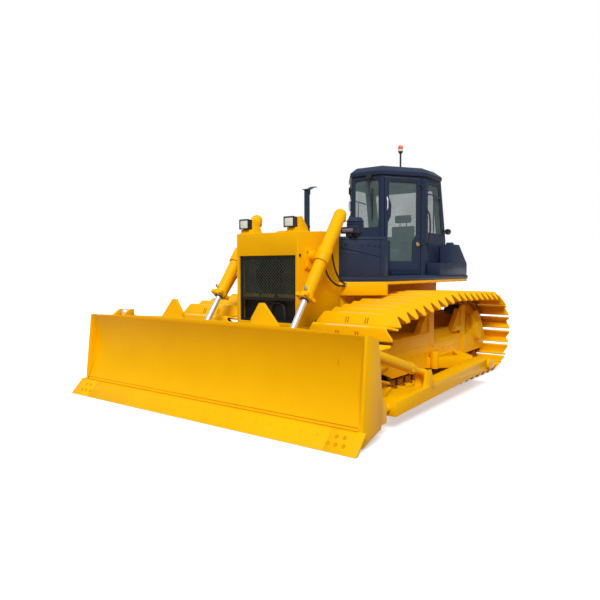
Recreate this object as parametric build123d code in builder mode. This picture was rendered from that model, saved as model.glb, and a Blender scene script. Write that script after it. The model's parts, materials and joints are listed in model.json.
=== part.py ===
from build123d import *
import math
import os

# A crawler dozer on wide swamp tracks, in millimetres.
# X runs across the machine with its left side at +X, the blade looks to -Y, and Z is up from the ground.

# Tracks
TRACK_GAUGE = 2300
SHOE_WIDTH = 1100
SHOE_COUNT = 42
LINK_PITCH = 203.2
SHOE_HEIGHT = 105
SHOE_SEAT = 52
SHOE_PLATE = 18
SHOE_GAP = 4
SHOE_RIDGE = 17
SHOE_BEVEL = 85
LINK_DEPTH = 42
LINK_NEAR = 45
LINK_FAR = 95
SPROCKET_R = 440
IDLER_R = 375
SPROCKET_Y = 1967
TEETH = 27
TOOTH_TIP = 10
TOOTH_ROOT = 34
SPROCKET_HALF = 35
TOUCH = 0.3

# Track frames
FRAME_HALF = 165
FRAME_WALL = 30
FRAME_ROOF = 410
FRAME_TOP = 540
FRAME_RIDGE = 700
RIDGE_HALF = 60
FRAME_SKIRT = 45
FORK_HALF = 75
SPRING_COVER_END = 370
SPRING_COVER_BEND = 160
HUB_COVER_R = 175
HUB_PLATE = 55
POST_HALF = 75
POST_GUSSET = 330
ROLLER_COUNT = 7
ROLLER_R = 95
CARRIER_R = 75
CARRIER_PINS = ((420, 1085), (1500, 1055))
AXLE_R = 45
TRUNNION_Y = 754
TRUNNION_Z = 300
TRUNNION_R = 55
OUTRIGGER_LOW = 240
OUTRIGGER_HIGH = 380
OUTRIGGER_ROOT = 470
OUTRIGGER_BOSS = 55

# Hull
HULL_HALF = 480
HULL_FLOOR = 430
RAIL_WIDTH = 120
RAIL_FLOOR = 560
RAIL_TOP = 860
SIDE_PLATE = 25
CASE_FRONT = 700
CASE_REAR = 2400
CASE_TOP = 1330
AXLE_HOUSING_R = 165
FINAL_DRIVE_R = 290
PIVOT_Y = 900
PIVOT_Z = 520
PIVOT_R = 70
BEAM_Y = -560
BEAM_HALF = 90
GUARD_SHEET = 30

# Engine hood
HOOD_FRONT = -1356
HOOD_REAR = -480
HOOD_TOP_FRONT = 1960
HOOD_TOP_REAR = 2006
HOOD_SHEET = 25
MASK_DEPTH = 60
GRILLE_HALF = 440
GRILLE_TOP = 1690
GRILLE_SILL = 1170
GRILLE_FLOOR = 900
GRILLE_BARS = 17
GRILLE_ROWS = 9
BAR_WIDTH = 12
EXHAUST_Y = -554
EXHAUST_R = 50
EXHAUST_TOP = 2550
LAMP_X = 365
LAMP_WIDTH = 180
LAMP_FLOOR = 2013
LAMP_TOP = 2150
LAMP_DEPTH = 76

# Cowl, platforms and tank
PLATFORM_HALF = 940
PLATFORM_FRONT = -120
COWL_FRONT = -526
DECK_LOW = 1370
DECK_TOP = 1430
FENDER_SHEET = 40
FENDER_DROP = 1195
COWL_TOP = 1940
COWL_BEND = 800
TANK_HALF = 920
TANK_INNER = 705
WING_RUN = 270
TANK_TOP = 1920
CREST_RUN = 337
TANK_REAR = 2631
TANK_SHOULDER = 1620
TANK_FRONT = 2330
BOX_FRONT = 1560

# Cab
CAB_FRONT = 924
CAB_NOSE_HALF = 266
CAB_BELT = 1528
CAB_HALF = 683
CAB_WALL = 40
CAB_EAVE = 2930
CAB_REAR_TOP = 2085
CAB_REAR_LOW = 2290
CAB_KNEE = 2000
ROOF_TOP = 3074
ROOF_LIP = 20
DOOR_THICK = 40
DOOR_GAP = 12
DOOR_FLOOR = 1446
DOOR_TOP = 2888
GLASS = 6
WINDOW_ROUND = 45
PANE_ROUND = 28
HINGE_R = 12
HINGE_PIN = 6
HINGE_STAND = 16
HINGE_RUN = 0.05
BEACON_X = 270
BEACON_Y = 1494
BEACON_TOP = 3449

# Blade
BLADE_HALF = 2030
BIT_REACH = 45
BIT_WIDTH = 335
EDGE_TIP = (-2631, 4)
EDGE_JOINT = (-2476, 175)
EDGE_THICK = 25
BLADE_MIDDLE = (-2326, 520)
BLADE_CREST = (-2376, 965)
BLADE_PLATE = 18
BLADE_CROWN = 40
BLADE_END = 30
EAR_X = 672
EAR_PIN = (-1976, 484)
EAR_GAP = 134
EAR_PLATE = 28

# Push arms and struts
ARM_GAP = 70
ARM_WIDTH = 190
ARM_HEIGHT = 148
ARM_FRONT_Y = -1746
ARM_FRONT_Z = 204
BALL_Y = -1950
BALL_Z = 210
BALL_R = 58
BALL_ROOM = 20
NECK_R = 42
PIN_RUN = 0.05
STRUT_IN = 205
STRUT_OUT = 25
STRUT_FOOT_Y = -1000
STRUT_FOOT_Z = 435
STRUT_HEAD_Y = -2130
BRACE_HEAD_Z = 840
TILT_HEAD_Z = 985
STRUT_BALL = 45
STRUT_R = 55
STRUT_EAR = 22
STRUT_ROOM = 14

# Lift cylinders
YOKE_Y = -1130
YOKE_Z = 1682
BARREL_R = 65
BARREL_BORE = 50
BARREL_ABOVE = 680
BARREL_BELOW = 600
BARREL_END = 30
BARREL_COLLAR = 22
PISTON = 30
ROD_R = 34
PISTON_R = 49.95
ROD_LENGTH = 1285
EYE_R = 60
EYE_WIDTH = 70

# Worked out from the sizes above
SHOE_TIP = SHOE_SEAT + SHOE_HEIGHT
SPROCKET_Z = SPROCKET_R + SHOE_TIP
IDLER_Z = IDLER_R + SHOE_TIP
AXLE_SPAN = (SHOE_COUNT * LINK_PITCH - math.pi * (SPROCKET_R + IDLER_R)) / 2
IDLER_Y = SPROCKET_Y - AXLE_SPAN
TRACK_X = TRACK_GAUGE / 2
TRACK_IN = TRACK_X - SHOE_WIDTH / 2
TRACK_OUT = TRACK_X + SHOE_WIDTH / 2
ARM_X = TRACK_OUT + ARM_GAP + ARM_WIDTH / 2
RAIL_Z = SHOE_TIP + LINK_DEPTH
ROLLER_Z = RAIL_Z + ROLLER_R + TOUCH
FRAME_FRONT = IDLER_Y + IDLER_R + 20
FRAME_REAR = SPROCKET_Y - SPROCKET_R - 40
FRAME_IN = FRAME_HALF - FRAME_WALL
TANK_CREST = TANK_REAR - CREST_RUN
TANK_WING = TANK_CREST - WING_RUN
STRUT_FOOT = (ARM_X + STRUT_OUT, STRUT_FOOT_Y, STRUT_FOOT_Z)
BRACE_HEAD = (ARM_X - STRUT_IN, STRUT_HEAD_Y, BRACE_HEAD_Z)
TILT_HEAD = (ARM_X - STRUT_IN, STRUT_HEAD_Y, TILT_HEAD_Z)


def slab(x0, x1, y0, y1, z0, z1, mode=Mode.ADD):
    """A box between two corners."""
    with Locations(((x0 + x1) / 2, (y0 + y1) / 2, (z0 + z1) / 2)):
        Box(abs(x1 - x0), y1 - y0, z1 - z0, mode=mode)


def bar(x0, x1, y, z, radius, mode=Mode.ADD):
    """A round bar that lies across the machine."""
    with Locations(Location(((x0 + x1) / 2, y, z), (0, 90, 0))):
        Cylinder(radius, abs(x1 - x0), mode=mode)


def outline(points, plane, depth, mode=Mode.ADD, holes=()):
    """A straight-sided outline, with holes of the same kind, given depth."""
    with BuildSketch(plane) as drawn:
        with BuildLine():
            Polyline(*points, close=True)
        make_face()
        for hole in holes:
            with BuildLine():
                Polyline(*hole, close=True)
            make_face(mode=Mode.SUBTRACT)
    extrude(drawn.sketch, amount=depth, mode=mode)


def pane(points, plane, depth, radius, mode=Mode.ADD):
    """A window outline with rounded corners, given depth."""
    with BuildSketch(plane) as drawn:
        with BuildLine():
            Polyline(*points, close=True)
        make_face()
        fillet(drawn.vertices(), radius)
    extrude(drawn.sketch, amount=depth, mode=mode)


def side_view(points, x0, x1, mode=Mode.ADD, holes=()):
    """An outline seen from the side, as (y, z), between two places across the machine."""
    outline(points, Plane.YZ.offset(min(x0, x1)), abs(x1 - x0), mode, holes)


def plan(points, z0, z1, mode=Mode.ADD, holes=()):
    """An outline seen from above, as (x, y), between two heights."""
    outline(points, Plane.XY.offset(z0), z1 - z0, mode, holes)


def front_view(points, y0, y1, mode=Mode.ADD, holes=()):
    """An outline seen from the front, as (x, z), between two places along the machine."""
    outline(points, Plane.XZ.offset(-y1), y1 - y0, mode, holes)


def rod_between(start, end, radius, mode=Mode.ADD):
    """A round rod from one point to another."""
    line = Vector(*end) - Vector(*start)
    with BuildSketch(Plane(origin=start, z_dir=line)) as disc:
        Circle(radius)
    extrude(disc.sketch, amount=line.length, mode=mode)


def finish(piece, name):
    """Name a piece and write it."""
    piece.part.label = name
    export_step(piece.part, "parts/" + name + ".step")


def tangent_angle(centre, radius, point, side):
    """The angle on a wheel where a straight run from a point touches it."""
    dy, dz = point[0] - centre[0], point[1] - centre[1]
    return math.atan2(dz, dy) + side * math.acos(radius / math.hypot(dy, dz))


def rim(centre, radius, angle):
    """A point on a wheel's rim."""
    return (centre[0] + radius * math.cos(angle), centre[1] + radius * math.sin(angle))


SPROCKET = (SPROCKET_Y, SPROCKET_Z)
IDLER = (IDLER_Y, IDLER_Z)
SPROCKET_LEAVE = tangent_angle(SPROCKET, SPROCKET_R, CARRIER_PINS[1], -1)
IDLER_MEET = tangent_angle(IDLER, IDLER_R, CARRIER_PINS[0], 1)
UPPER_RUN = (rim(SPROCKET, SPROCKET_R, SPROCKET_LEAVE), CARRIER_PINS[1], CARRIER_PINS[0],
             rim(IDLER, IDLER_R, IDLER_MEET))
UPPER_SPANS = [math.dist(start, end) for start, end in zip(UPPER_RUN, UPPER_RUN[1:])]
SPROCKET_WRAP = SPROCKET_R * (SPROCKET_LEAVE + math.pi / 2)
IDLER_WRAP = IDLER_R * (3 * math.pi / 2 - IDLER_MEET)
LOOP_LENGTH = AXLE_SPAN + SPROCKET_WRAP + sum(UPPER_SPANS) + IDLER_WRAP


def pin_place(distance):
    """A point on the chain's pitch line, that far on from below the idler."""
    if distance < AXLE_SPAN:
        return (IDLER_Y + distance, SHOE_TIP)
    distance -= AXLE_SPAN
    if distance < SPROCKET_WRAP:
        return rim(SPROCKET, SPROCKET_R, distance / SPROCKET_R - math.pi / 2)
    distance -= SPROCKET_WRAP
    for start, end, span in zip(UPPER_RUN, UPPER_RUN[1:], UPPER_SPANS):
        if distance < span:
            share = distance / span
            return (start[0] + (end[0] - start[0]) * share, start[1] + (end[1] - start[1]) * share)
        distance -= span
    return rim(IDLER, IDLER_R, IDLER_MEET + distance / IDLER_R)


PINS = [pin_place(i * LOOP_LENGTH / SHOE_COUNT) for i in range(SHOE_COUNT)]


def link_frame(i):
    """The middle, direction and outward normal of one link."""
    ay, az = PINS[i]
    by, bz = PINS[(i + 1) % SHOE_COUNT]
    length = math.hypot(by - ay, bz - az)
    ty, tz = (by - ay) / length, (bz - az) / length
    return ((ay + by) / 2, (az + bz) / 2), (ty, tz), (tz, -ty), length / 2


def chain_outline(out):
    """The chain's pins, moved outward by a distance."""
    points = []
    for i in range(SHOE_COUNT):
        ny0, nz0 = link_frame(i - 1)[2]
        ny1, nz1 = link_frame(i)[2]
        length = math.hypot(ny0 + ny1, nz0 + nz1)
        mitre = out / (length / 2)
        points.append((PINS[i][0] + (ny0 + ny1) / length * mitre, PINS[i][1] + (nz0 + nz1) / length * mitre))
    return points


def carrier_height(y):
    """The height of a carrier roller's axle, with the roller just under the links above it."""
    heights = []
    for i in range(SHOE_COUNT):
        (my, mz), (ty, tz), (ny, nz), half = link_frame(i)
        if nz > 0.9 and mz > SPROCKET_Z and abs(my - y) < 2 * half:
            drop = (LINK_DEPTH + CARRIER_R + TOUCH) / nz
            heights.append(mz + (y - my) * tz / ty - drop)
    return min(heights)


os.makedirs("parts", exist_ok=True)

# Tracks: each is one closed loop of link rails, and every link carries a tent-shaped shoe.
SHOE_HALF = LOOP_LENGTH / SHOE_COUNT / 2 - SHOE_GAP
SHOE_FLOOR = SHOE_SEAT - SHOE_PLATE
with BuildPart() as shoe:
    side_view([(-SHOE_HALF, SHOE_FLOOR), (-SHOE_HALF, SHOE_SEAT), (-SHOE_RIDGE, SHOE_TIP), (SHOE_RIDGE, SHOE_TIP),
               (SHOE_HALF, SHOE_SEAT), (SHOE_HALF, SHOE_FLOOR)], -SHOE_WIDTH / 2, SHOE_WIDTH / 2)
    for side in (-1, 1):
        end = side * SHOE_WIDTH / 2
        front_view([(end - side * SHOE_BEVEL, SHOE_TIP + 1), (end + side, SHOE_TIP + 1),
                    (end + side, SHOE_SEAT)], -SHOE_HALF - 1, SHOE_HALF + 1, mode=Mode.SUBTRACT)
with BuildPart() as track_left:
    for rail_x in (TRACK_X - LINK_FAR, TRACK_X + LINK_NEAR):
        side_view(chain_outline(SHOE_FLOOR), rail_x, rail_x + LINK_FAR - LINK_NEAR,
                  holes=[chain_outline(-LINK_DEPTH)])
    for i in range(SHOE_COUNT):
        middle, along_link, outward, half = link_frame(i)
        with Locations(Plane(origin=(TRACK_X, *middle), x_dir=(1, 0, 0), z_dir=(0, *outward))):
            add(shoe.part)
with BuildPart() as track_right:
    mirror(track_left.part, about=Plane.YZ)
finish(track_left, "track_left")
finish(track_right, "track_right")

# Sprockets on their hubs.
with BuildPart() as sprockets:
    teeth = []
    for i in range(TEETH * 4):
        reach = TOOTH_TIP if i % 4 in (1, 2) else -TOOTH_ROOT
        turn = 2 * math.pi * i / (TEETH * 4)
        teeth.append((SPROCKET_Y + (SPROCKET_R + reach) * math.cos(turn),
                      SPROCKET_Z + (SPROCKET_R + reach) * math.sin(turn)))
    side_view(teeth, TRACK_X - SPROCKET_HALF, TRACK_X + SPROCKET_HALF)
    bar(TRACK_X + SPROCKET_HALF, TRACK_X + FRAME_IN - TOUCH, SPROCKET_Y, SPROCKET_Z, 250)
    mirror(about=Plane.YZ)
finish(sprockets, "sprockets")

# Front idlers.
IDLER_RIM = math.sqrt(IDLER_R ** 2 - (LINK_PITCH / 2) ** 2) - LINK_DEPTH - TOUCH
with BuildPart() as idlers:
    bar(TRACK_X - LINK_FAR, TRACK_X + LINK_FAR, IDLER_Y, IDLER_Z, IDLER_RIM)
    bar(TRACK_X - LINK_NEAR + 5, TRACK_X + LINK_NEAR - 5, IDLER_Y, IDLER_Z, IDLER_RIM + 26)
    for face in (-1, 1):
        bar(TRACK_X + face * (LINK_FAR - 45), TRACK_X + face * (LINK_FAR + 1), IDLER_Y, IDLER_Z,
            IDLER_RIM - 60, mode=Mode.SUBTRACT)
    bar(TRACK_X - FRAME_IN, TRACK_X + FRAME_IN, IDLER_Y, IDLER_Z, 80)
    mirror(about=Plane.YZ)
finish(idlers, "idlers")

# Track rollers under the frames and carrier rollers above them.
FIRST_ROLLER = FRAME_FRONT + ROLLER_R - 30
LAST_ROLLER = FRAME_REAR - ROLLER_R + 20
ROLLER_STEP = (LAST_ROLLER - FIRST_ROLLER) / (ROLLER_COUNT - 1)
with BuildPart() as track_rollers:
    for i in range(ROLLER_COUNT):
        y = FIRST_ROLLER + i * ROLLER_STEP
        bar(TRACK_X - LINK_FAR - 5, TRACK_X + LINK_FAR + 5, y, ROLLER_Z, ROLLER_R)
        bar(TRACK_X - FRAME_IN, TRACK_X + FRAME_IN, y, ROLLER_Z, AXLE_R)
    mirror(about=Plane.YZ)
finish(track_rollers, "track_rollers")

with BuildPart() as carrier_rollers:
    for y, pitch_z in CARRIER_PINS:
        z = carrier_height(y)
        bar(TRACK_X - LINK_FAR - 5, TRACK_X + LINK_FAR + 5, y, z, CARRIER_R)
        bar(TRACK_X, TRACK_X + FRAME_IN, y, z, AXLE_R)
    mirror(about=Plane.YZ)
finish(carrier_rollers, "carrier_rollers")

# Track frames: a ridged beam over the rollers, forks for the idler, a spring cover, carrier posts, the plate
# and cap outside the sprocket, and the outrigger that the push arm turns on.
HUB_PLATE_SIDE = [(FRAME_REAR - 60, ROLLER_Z), (FRAME_REAR - 60, FRAME_TOP - 40), (SPROCKET_Y - 190, SPROCKET_Z + 40),
                  (SPROCKET_Y - 150, SPROCKET_Z + 240), (SPROCKET_Y - 60, SPROCKET_Z + 290),
                  (SPROCKET_Y + 70, SPROCKET_Z + 290), (SPROCKET_Y + 160, SPROCKET_Z + 230),
                  (SPROCKET_Y + 380, SPROCKET_Z - 100), (SPROCKET_Y + 270, SPROCKET_Z - 290)]
with BuildPart() as track_frame_left:
    slab(TRACK_X - FRAME_HALF, TRACK_X + FRAME_HALF, FRAME_FRONT, FRAME_REAR, FRAME_ROOF, FRAME_TOP)
    cheek = [(FRAME_REAR, ROLLER_Z - FRAME_SKIRT), (FRAME_FRONT, ROLLER_Z - FRAME_SKIRT),
             (IDLER_Y - 2 * FORK_HALF, IDLER_Z - FORK_HALF), (IDLER_Y - 2 * FORK_HALF, IDLER_Z + FORK_HALF),
             (FRAME_FRONT, FRAME_RIDGE - 60), (FRAME_FRONT + 150, FRAME_TOP), (FRAME_REAR, FRAME_TOP)]
    for x in (TRACK_X - FRAME_HALF, TRACK_X + FRAME_IN):
        side_view(cheek, x, x + FRAME_WALL)
    front_view([(TRACK_X - FRAME_HALF, FRAME_TOP), (TRACK_X + FRAME_HALF, FRAME_TOP),
                (TRACK_X + RIDGE_HALF, FRAME_RIDGE), (TRACK_X - RIDGE_HALF, FRAME_RIDGE)],
               FRAME_FRONT, FRAME_REAR)
    with BuildSketch(Plane.YZ.offset(TRACK_X - FRAME_HALF)) as spring_cover:
        with BuildLine():
            Polyline((SPRING_COVER_END, FRAME_TOP - 60), (FRAME_FRONT, FRAME_TOP - 60), (FRAME_FRONT, FRAME_RIDGE),
                     (SPRING_COVER_END - SPRING_COVER_BEND, FRAME_RIDGE))
            ThreePointArc((SPRING_COVER_END - SPRING_COVER_BEND, FRAME_RIDGE),
                          (SPRING_COVER_END - SPRING_COVER_BEND * 0.3, FRAME_RIDGE - SPRING_COVER_BEND * 0.3),
                          (SPRING_COVER_END, FRAME_RIDGE - SPRING_COVER_BEND))
            Line((SPRING_COVER_END, FRAME_RIDGE - SPRING_COVER_BEND), (SPRING_COVER_END, FRAME_TOP - 60))
        make_face()
    extrude(spring_cover.sketch, amount=2 * FRAME_HALF)
    for y, pitch_z in CARRIER_PINS:
        post_top = carrier_height(y) + AXLE_R + 15
        side_view([(y - POST_HALF, FRAME_TOP - 60), (y + POST_HALF, FRAME_TOP - 60), (y + POST_HALF, post_top),
                   (y - POST_HALF, post_top)], TRACK_X + FRAME_IN, TRACK_X + FRAME_HALF)
        side_view([(y - POST_GUSSET, FRAME_RIDGE - 30), (y - POST_HALF, FRAME_RIDGE - 60),
                   (y - POST_HALF, post_top - 40)], TRACK_X + RIDGE_HALF, TRACK_X + FRAME_IN + 5)
        side_view([(y - POST_GUSSET, FRAME_RIDGE - 60), (y + POST_HALF, FRAME_RIDGE - 60),
                   (y + POST_HALF, FRAME_RIDGE + 20), (y - POST_GUSSET + 60, FRAME_RIDGE)],
                  TRACK_X + RIDGE_HALF - 20, TRACK_X + FRAME_HALF)
    side_view(HUB_PLATE_SIDE, TRACK_X + FRAME_IN, TRACK_X + FRAME_IN + HUB_PLATE)
    with BuildSketch(Plane.YZ.offset(TRACK_X + FRAME_IN + HUB_PLATE)) as cap_foot:
        with Locations(SPROCKET):
            Circle(HUB_COVER_R)
    extrude(cap_foot.sketch, amount=60, taper=35)
    root = TRACK_X + FRAME_HALF
    plan([(root - 5, TRUNNION_Y - OUTRIGGER_ROOT), (root - 5, TRUNNION_Y + OUTRIGGER_ROOT),
          (TRACK_OUT + 20, TRUNNION_Y + 75), (TRACK_OUT + 20, TRUNNION_Y - 75)], OUTRIGGER_LOW, OUTRIGGER_HIGH,
         holes=[[(root + 40, TRUNNION_Y - OUTRIGGER_ROOT + 170), (root + 40, TRUNNION_Y + OUTRIGGER_ROOT - 170),
                 (root + 230, TRUNNION_Y)]])
    with Locations((root + OUTRIGGER_BOSS + 20, TRUNNION_Y - OUTRIGGER_ROOT + 70, OUTRIGGER_LOW + 110)):
        Cylinder(OUTRIGGER_BOSS, 220)
    bar(TRACK_OUT - 20, ARM_X + ARM_WIDTH / 2 + 30, TRUNNION_Y, TRUNNION_Z, TRUNNION_R)
    bar(ARM_X + ARM_WIDTH / 2 + 6, ARM_X + ARM_WIDTH / 2 + 30, TRUNNION_Y, TRUNNION_Z, TRUNNION_R + 25)
with BuildPart() as track_frame_right:
    mirror(track_frame_left.part, about=Plane.YZ)
finish(track_frame_left, "track_frame_left")
finish(track_frame_right, "track_frame_right")

# Main frame: nose, two rails, hood side plates and the cross beam that carries the track frames.
with BuildPart() as main_frame:
    slab(-HULL_HALF, HULL_HALF, HOOD_FRONT, HOOD_FRONT + 156, HULL_FLOOR, RAIL_TOP)
    slab(HULL_HALF - RAIL_WIDTH, HULL_HALF, HOOD_FRONT + 156, CASE_FRONT, RAIL_FLOOR, RAIL_TOP)
    slab(HULL_HALF - SIDE_PLATE, HULL_HALF, HOOD_REAR, CASE_FRONT, RAIL_TOP, DECK_LOW)
    slab(0, TRACK_X - FRAME_HALF, BEAM_Y - BEAM_HALF, BEAM_Y + BEAM_HALF, HULL_FLOOR + 10, RAIL_FLOOR)
    mirror(about=Plane.YZ)
finish(main_frame, "main_frame")

with BuildPart() as belly_guard:
    slab(-HULL_HALF + 40, HULL_HALF - 40, HOOD_FRONT + 20, CASE_REAR - 100, HULL_FLOOR - GUARD_SHEET, HULL_FLOOR)
finish(belly_guard, "belly_guard")

# Rear case with its axle housings and pivot shafts, and the four bolt holes of its rear face.
BOLT_X = 300
BOLT_Z = 200
BOLT_R = 13
CASE_MID_Z = 900
with BuildPart() as transmission_case:
    slab(-HULL_HALF, HULL_HALF, CASE_FRONT, CASE_REAR, HULL_FLOOR, CASE_TOP)
    bar(-TRACK_X + 35, TRACK_X - 35, SPROCKET_Y, SPROCKET_Z, AXLE_HOUSING_R)
    for side in (-1, 1):
        bar(side * (TRACK_IN + 40), side * (TRACK_X - 150), SPROCKET_Y, SPROCKET_Z, FINAL_DRIVE_R)
        bar(side * (HULL_HALF - 10), side * (TRACK_X - FRAME_HALF), PIVOT_Y, PIVOT_Z, PIVOT_R)
    with BuildSketch(Plane.XZ.offset(-CASE_REAR)) as rear_bolts:
        with Locations((0, CASE_MID_Z)):
            with GridLocations(2 * BOLT_X, 2 * BOLT_Z, 2, 2):
                Circle(BOLT_R)
    extrude(rear_bolts.sketch, amount=60, mode=Mode.SUBTRACT)
finish(transmission_case, "transmission_case")

# Drawbar: a tongue under the tank with an upright pin hole.
HITCH_R = 26
HITCH_Y = 2540
HITCH_Z = 480
HITCH_THICK = 60
with BuildPart() as drawbar:
    slab(-140, 140, CASE_REAR, CASE_REAR + 40, HITCH_Z - 40, HITCH_Z + 160)
    slab(-70, 70, CASE_REAR + 40, HITCH_Y, HITCH_Z - HITCH_THICK / 2, HITCH_Z + HITCH_THICK / 2)
    with Locations((0, HITCH_Y, HITCH_Z)):
        Cylinder(70, HITCH_THICK)
        Cylinder(HITCH_R, HITCH_THICK, mode=Mode.SUBTRACT)
finish(drawbar, "drawbar")

# The engine is one plain block on feet between the rails.
ENGINE_HALF = 330
ENGINE_LOW = 700
ENGINE_TOP = 1650
with BuildPart() as engine_block:
    slab(-ENGINE_HALF, ENGINE_HALF, -820, 500, ENGINE_LOW, ENGINE_TOP)
    for y in (-600, 300):
        slab(-HULL_HALF + RAIL_WIDTH, HULL_HALF - RAIL_WIDTH, y, y + 120, ENGINE_LOW + 40, ENGINE_LOW + 120)
finish(engine_block, "engine_block")


# Hood: one bent cover with a front mask, open underneath and at the back.
def hood_side(inset):
    """The hood's side outline, drawn in by a distance at its top."""
    return [(HOOD_FRONT, RAIL_TOP), (HOOD_REAR, RAIL_TOP), (HOOD_REAR, HOOD_TOP_REAR - inset),
            (HOOD_FRONT, HOOD_TOP_FRONT - inset)]


LAMP_BACK = HOOD_FRONT + LAMP_DEPTH
with BuildPart() as hood:
    side_view(hood_side(0), -HULL_HALF, HULL_HALF)
    side_view([(HOOD_FRONT + MASK_DEPTH, RAIL_TOP), (HOOD_REAR, RAIL_TOP), (HOOD_REAR, HOOD_TOP_REAR - HOOD_SHEET),
               (HOOD_FRONT + MASK_DEPTH, HOOD_TOP_FRONT - HOOD_SHEET)],
              -HULL_HALF + HOOD_SHEET, HULL_HALF - HOOD_SHEET, mode=Mode.SUBTRACT)
    slab(-GRILLE_HALF, GRILLE_HALF, HOOD_FRONT, HOOD_FRONT + MASK_DEPTH, GRILLE_FLOOR, GRILLE_TOP,
         mode=Mode.SUBTRACT)
    with Locations((0, EXHAUST_Y, HOOD_TOP_REAR)):
        Cylinder(EXHAUST_R + 0.5, 160, mode=Mode.SUBTRACT)
    for side in (-1, 1):
        x = side * LAMP_X
        side_view([(LAMP_BACK, HOOD_TOP_FRONT - 15), (LAMP_BACK, LAMP_TOP - 15), (LAMP_BACK + 50, LAMP_TOP - 5),
                   (LAMP_BACK + 150, LAMP_TOP - 120), (LAMP_BACK + 190, HOOD_TOP_FRONT - 10)],
                  x - LAMP_WIDTH / 2 + 10, x + LAMP_WIDTH / 2 - 10)
        slab(x - LAMP_WIDTH / 2 + 20, x + LAMP_WIDTH / 2 - 20, HOOD_FRONT + 30, LAMP_BACK,
             HOOD_TOP_FRONT - 15, LAMP_FLOOR)
finish(hood, "hood")

with BuildPart() as grille:
    frame_low = GRILLE_FLOOR
    front_view([(-GRILLE_HALF, frame_low), (GRILLE_HALF, frame_low), (GRILLE_HALF, GRILLE_TOP),
                (-GRILLE_HALF, GRILLE_TOP)], HOOD_FRONT + 12, HOOD_FRONT + 44,
               holes=[[(-GRILLE_HALF + 30, GRILLE_SILL + 20), (GRILLE_HALF - 30, GRILLE_SILL + 20),
                       (GRILLE_HALF - 30, GRILLE_TOP - 30), (-GRILLE_HALF + 30, GRILLE_TOP - 30)],
                      [(-GRILLE_HALF + 30, frame_low + 30), (GRILLE_HALF - 30, frame_low + 30),
                       (GRILLE_HALF - 30, GRILLE_SILL - 20), (-GRILLE_HALF + 30, GRILLE_SILL - 20)]])
    mesh_width = 2 * GRILLE_HALF - 60
    for i in range(1, GRILLE_BARS + 1):
        x = -mesh_width / 2 + i * mesh_width / (GRILLE_BARS + 1)
        slab(x - BAR_WIDTH / 2, x + BAR_WIDTH / 2, HOOD_FRONT + 20, HOOD_FRONT + 36, GRILLE_SILL, GRILLE_TOP - 20)
    mesh_height = GRILLE_TOP - 30 - GRILLE_SILL - 20
    for i in range(1, GRILLE_ROWS + 1):
        z = GRILLE_SILL + 20 + i * mesh_height / (GRILLE_ROWS + 1)
        slab(-GRILLE_HALF + 20, GRILLE_HALF - 20, HOOD_FRONT + 22, HOOD_FRONT + 34, z - BAR_WIDTH / 2,
             z + BAR_WIDTH / 2)
finish(grille, "grille")

with BuildPart() as radiator_core:
    slab(-GRILLE_HALF + 10, GRILLE_HALF - 10, HOOD_FRONT + 90, HOOD_FRONT + 150, RAIL_TOP, HOOD_TOP_FRONT - 60)
finish(radiator_core, "radiator_core")

with BuildPart() as exhaust:
    with Locations((0, EXHAUST_Y, (ENGINE_TOP + EXHAUST_TOP) / 2)):
        Cylinder(EXHAUST_R, EXHAUST_TOP - ENGINE_TOP)
    with Locations((0, EXHAUST_Y, EXHAUST_TOP)):
        Cylinder(EXHAUST_R - 6, 500, mode=Mode.SUBTRACT)
    with Locations(Location((0, EXHAUST_Y + 6, EXHAUST_TOP + 12), (14, 0, 0))):
        Cylinder(EXHAUST_R + 6, 6)
    slab(-14, 14, EXHAUST_Y + EXHAUST_R - 3, EXHAUST_Y + EXHAUST_R + 14, EXHAUST_TOP - 40, EXHAUST_TOP + 30)
finish(exhaust, "exhaust")

with BuildPart() as head_lamps:
    for side in (-1, 1):
        x = side * LAMP_X
        slab(x - LAMP_WIDTH / 2, x + LAMP_WIDTH / 2, HOOD_FRONT, LAMP_BACK, LAMP_FLOOR, LAMP_TOP)
        slab(x - LAMP_WIDTH / 2 + 14, x + LAMP_WIDTH / 2 - 14, HOOD_FRONT, HOOD_FRONT + 16, LAMP_FLOOR + 14,
             LAMP_TOP - 14, mode=Mode.SUBTRACT)
finish(head_lamps, "head_lamps")

# Cowl: the cover between hood and cab, with a wedge-shaped box on each platform.
WEDGE = [(HULL_HALF, COWL_FRONT), (TANK_HALF, COWL_FRONT + 390), (TANK_HALF, -60), (HULL_HALF + 70, 560),
         (HULL_HALF, 600)]
with BuildPart() as cowl:
    slab(-HULL_HALF, HULL_HALF, HOOD_REAR, CAB_FRONT, DECK_LOW, COWL_TOP)
    slab(-HULL_HALF + SIDE_PLATE, HULL_HALF - SIDE_PLATE, HOOD_REAR, COWL_BEND - SIDE_PLATE, DECK_LOW,
         COWL_TOP - SIDE_PLATE, mode=Mode.SUBTRACT)
    for side in (-1, 1):
        plan([(side * HULL_HALF, COWL_BEND), (side * (HULL_HALF + 1), CAB_FRONT + 1),
              (side * CAB_NOSE_HALF, CAB_FRONT + 1), (side * CAB_NOSE_HALF, CAB_FRONT - 15)], DECK_LOW, COWL_TOP,
             mode=Mode.SUBTRACT)
    for side in (-1, 1):
        plan([(side * x, y) for x, y in WEDGE], DECK_TOP, COWL_TOP)
finish(cowl, "cowl")

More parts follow.
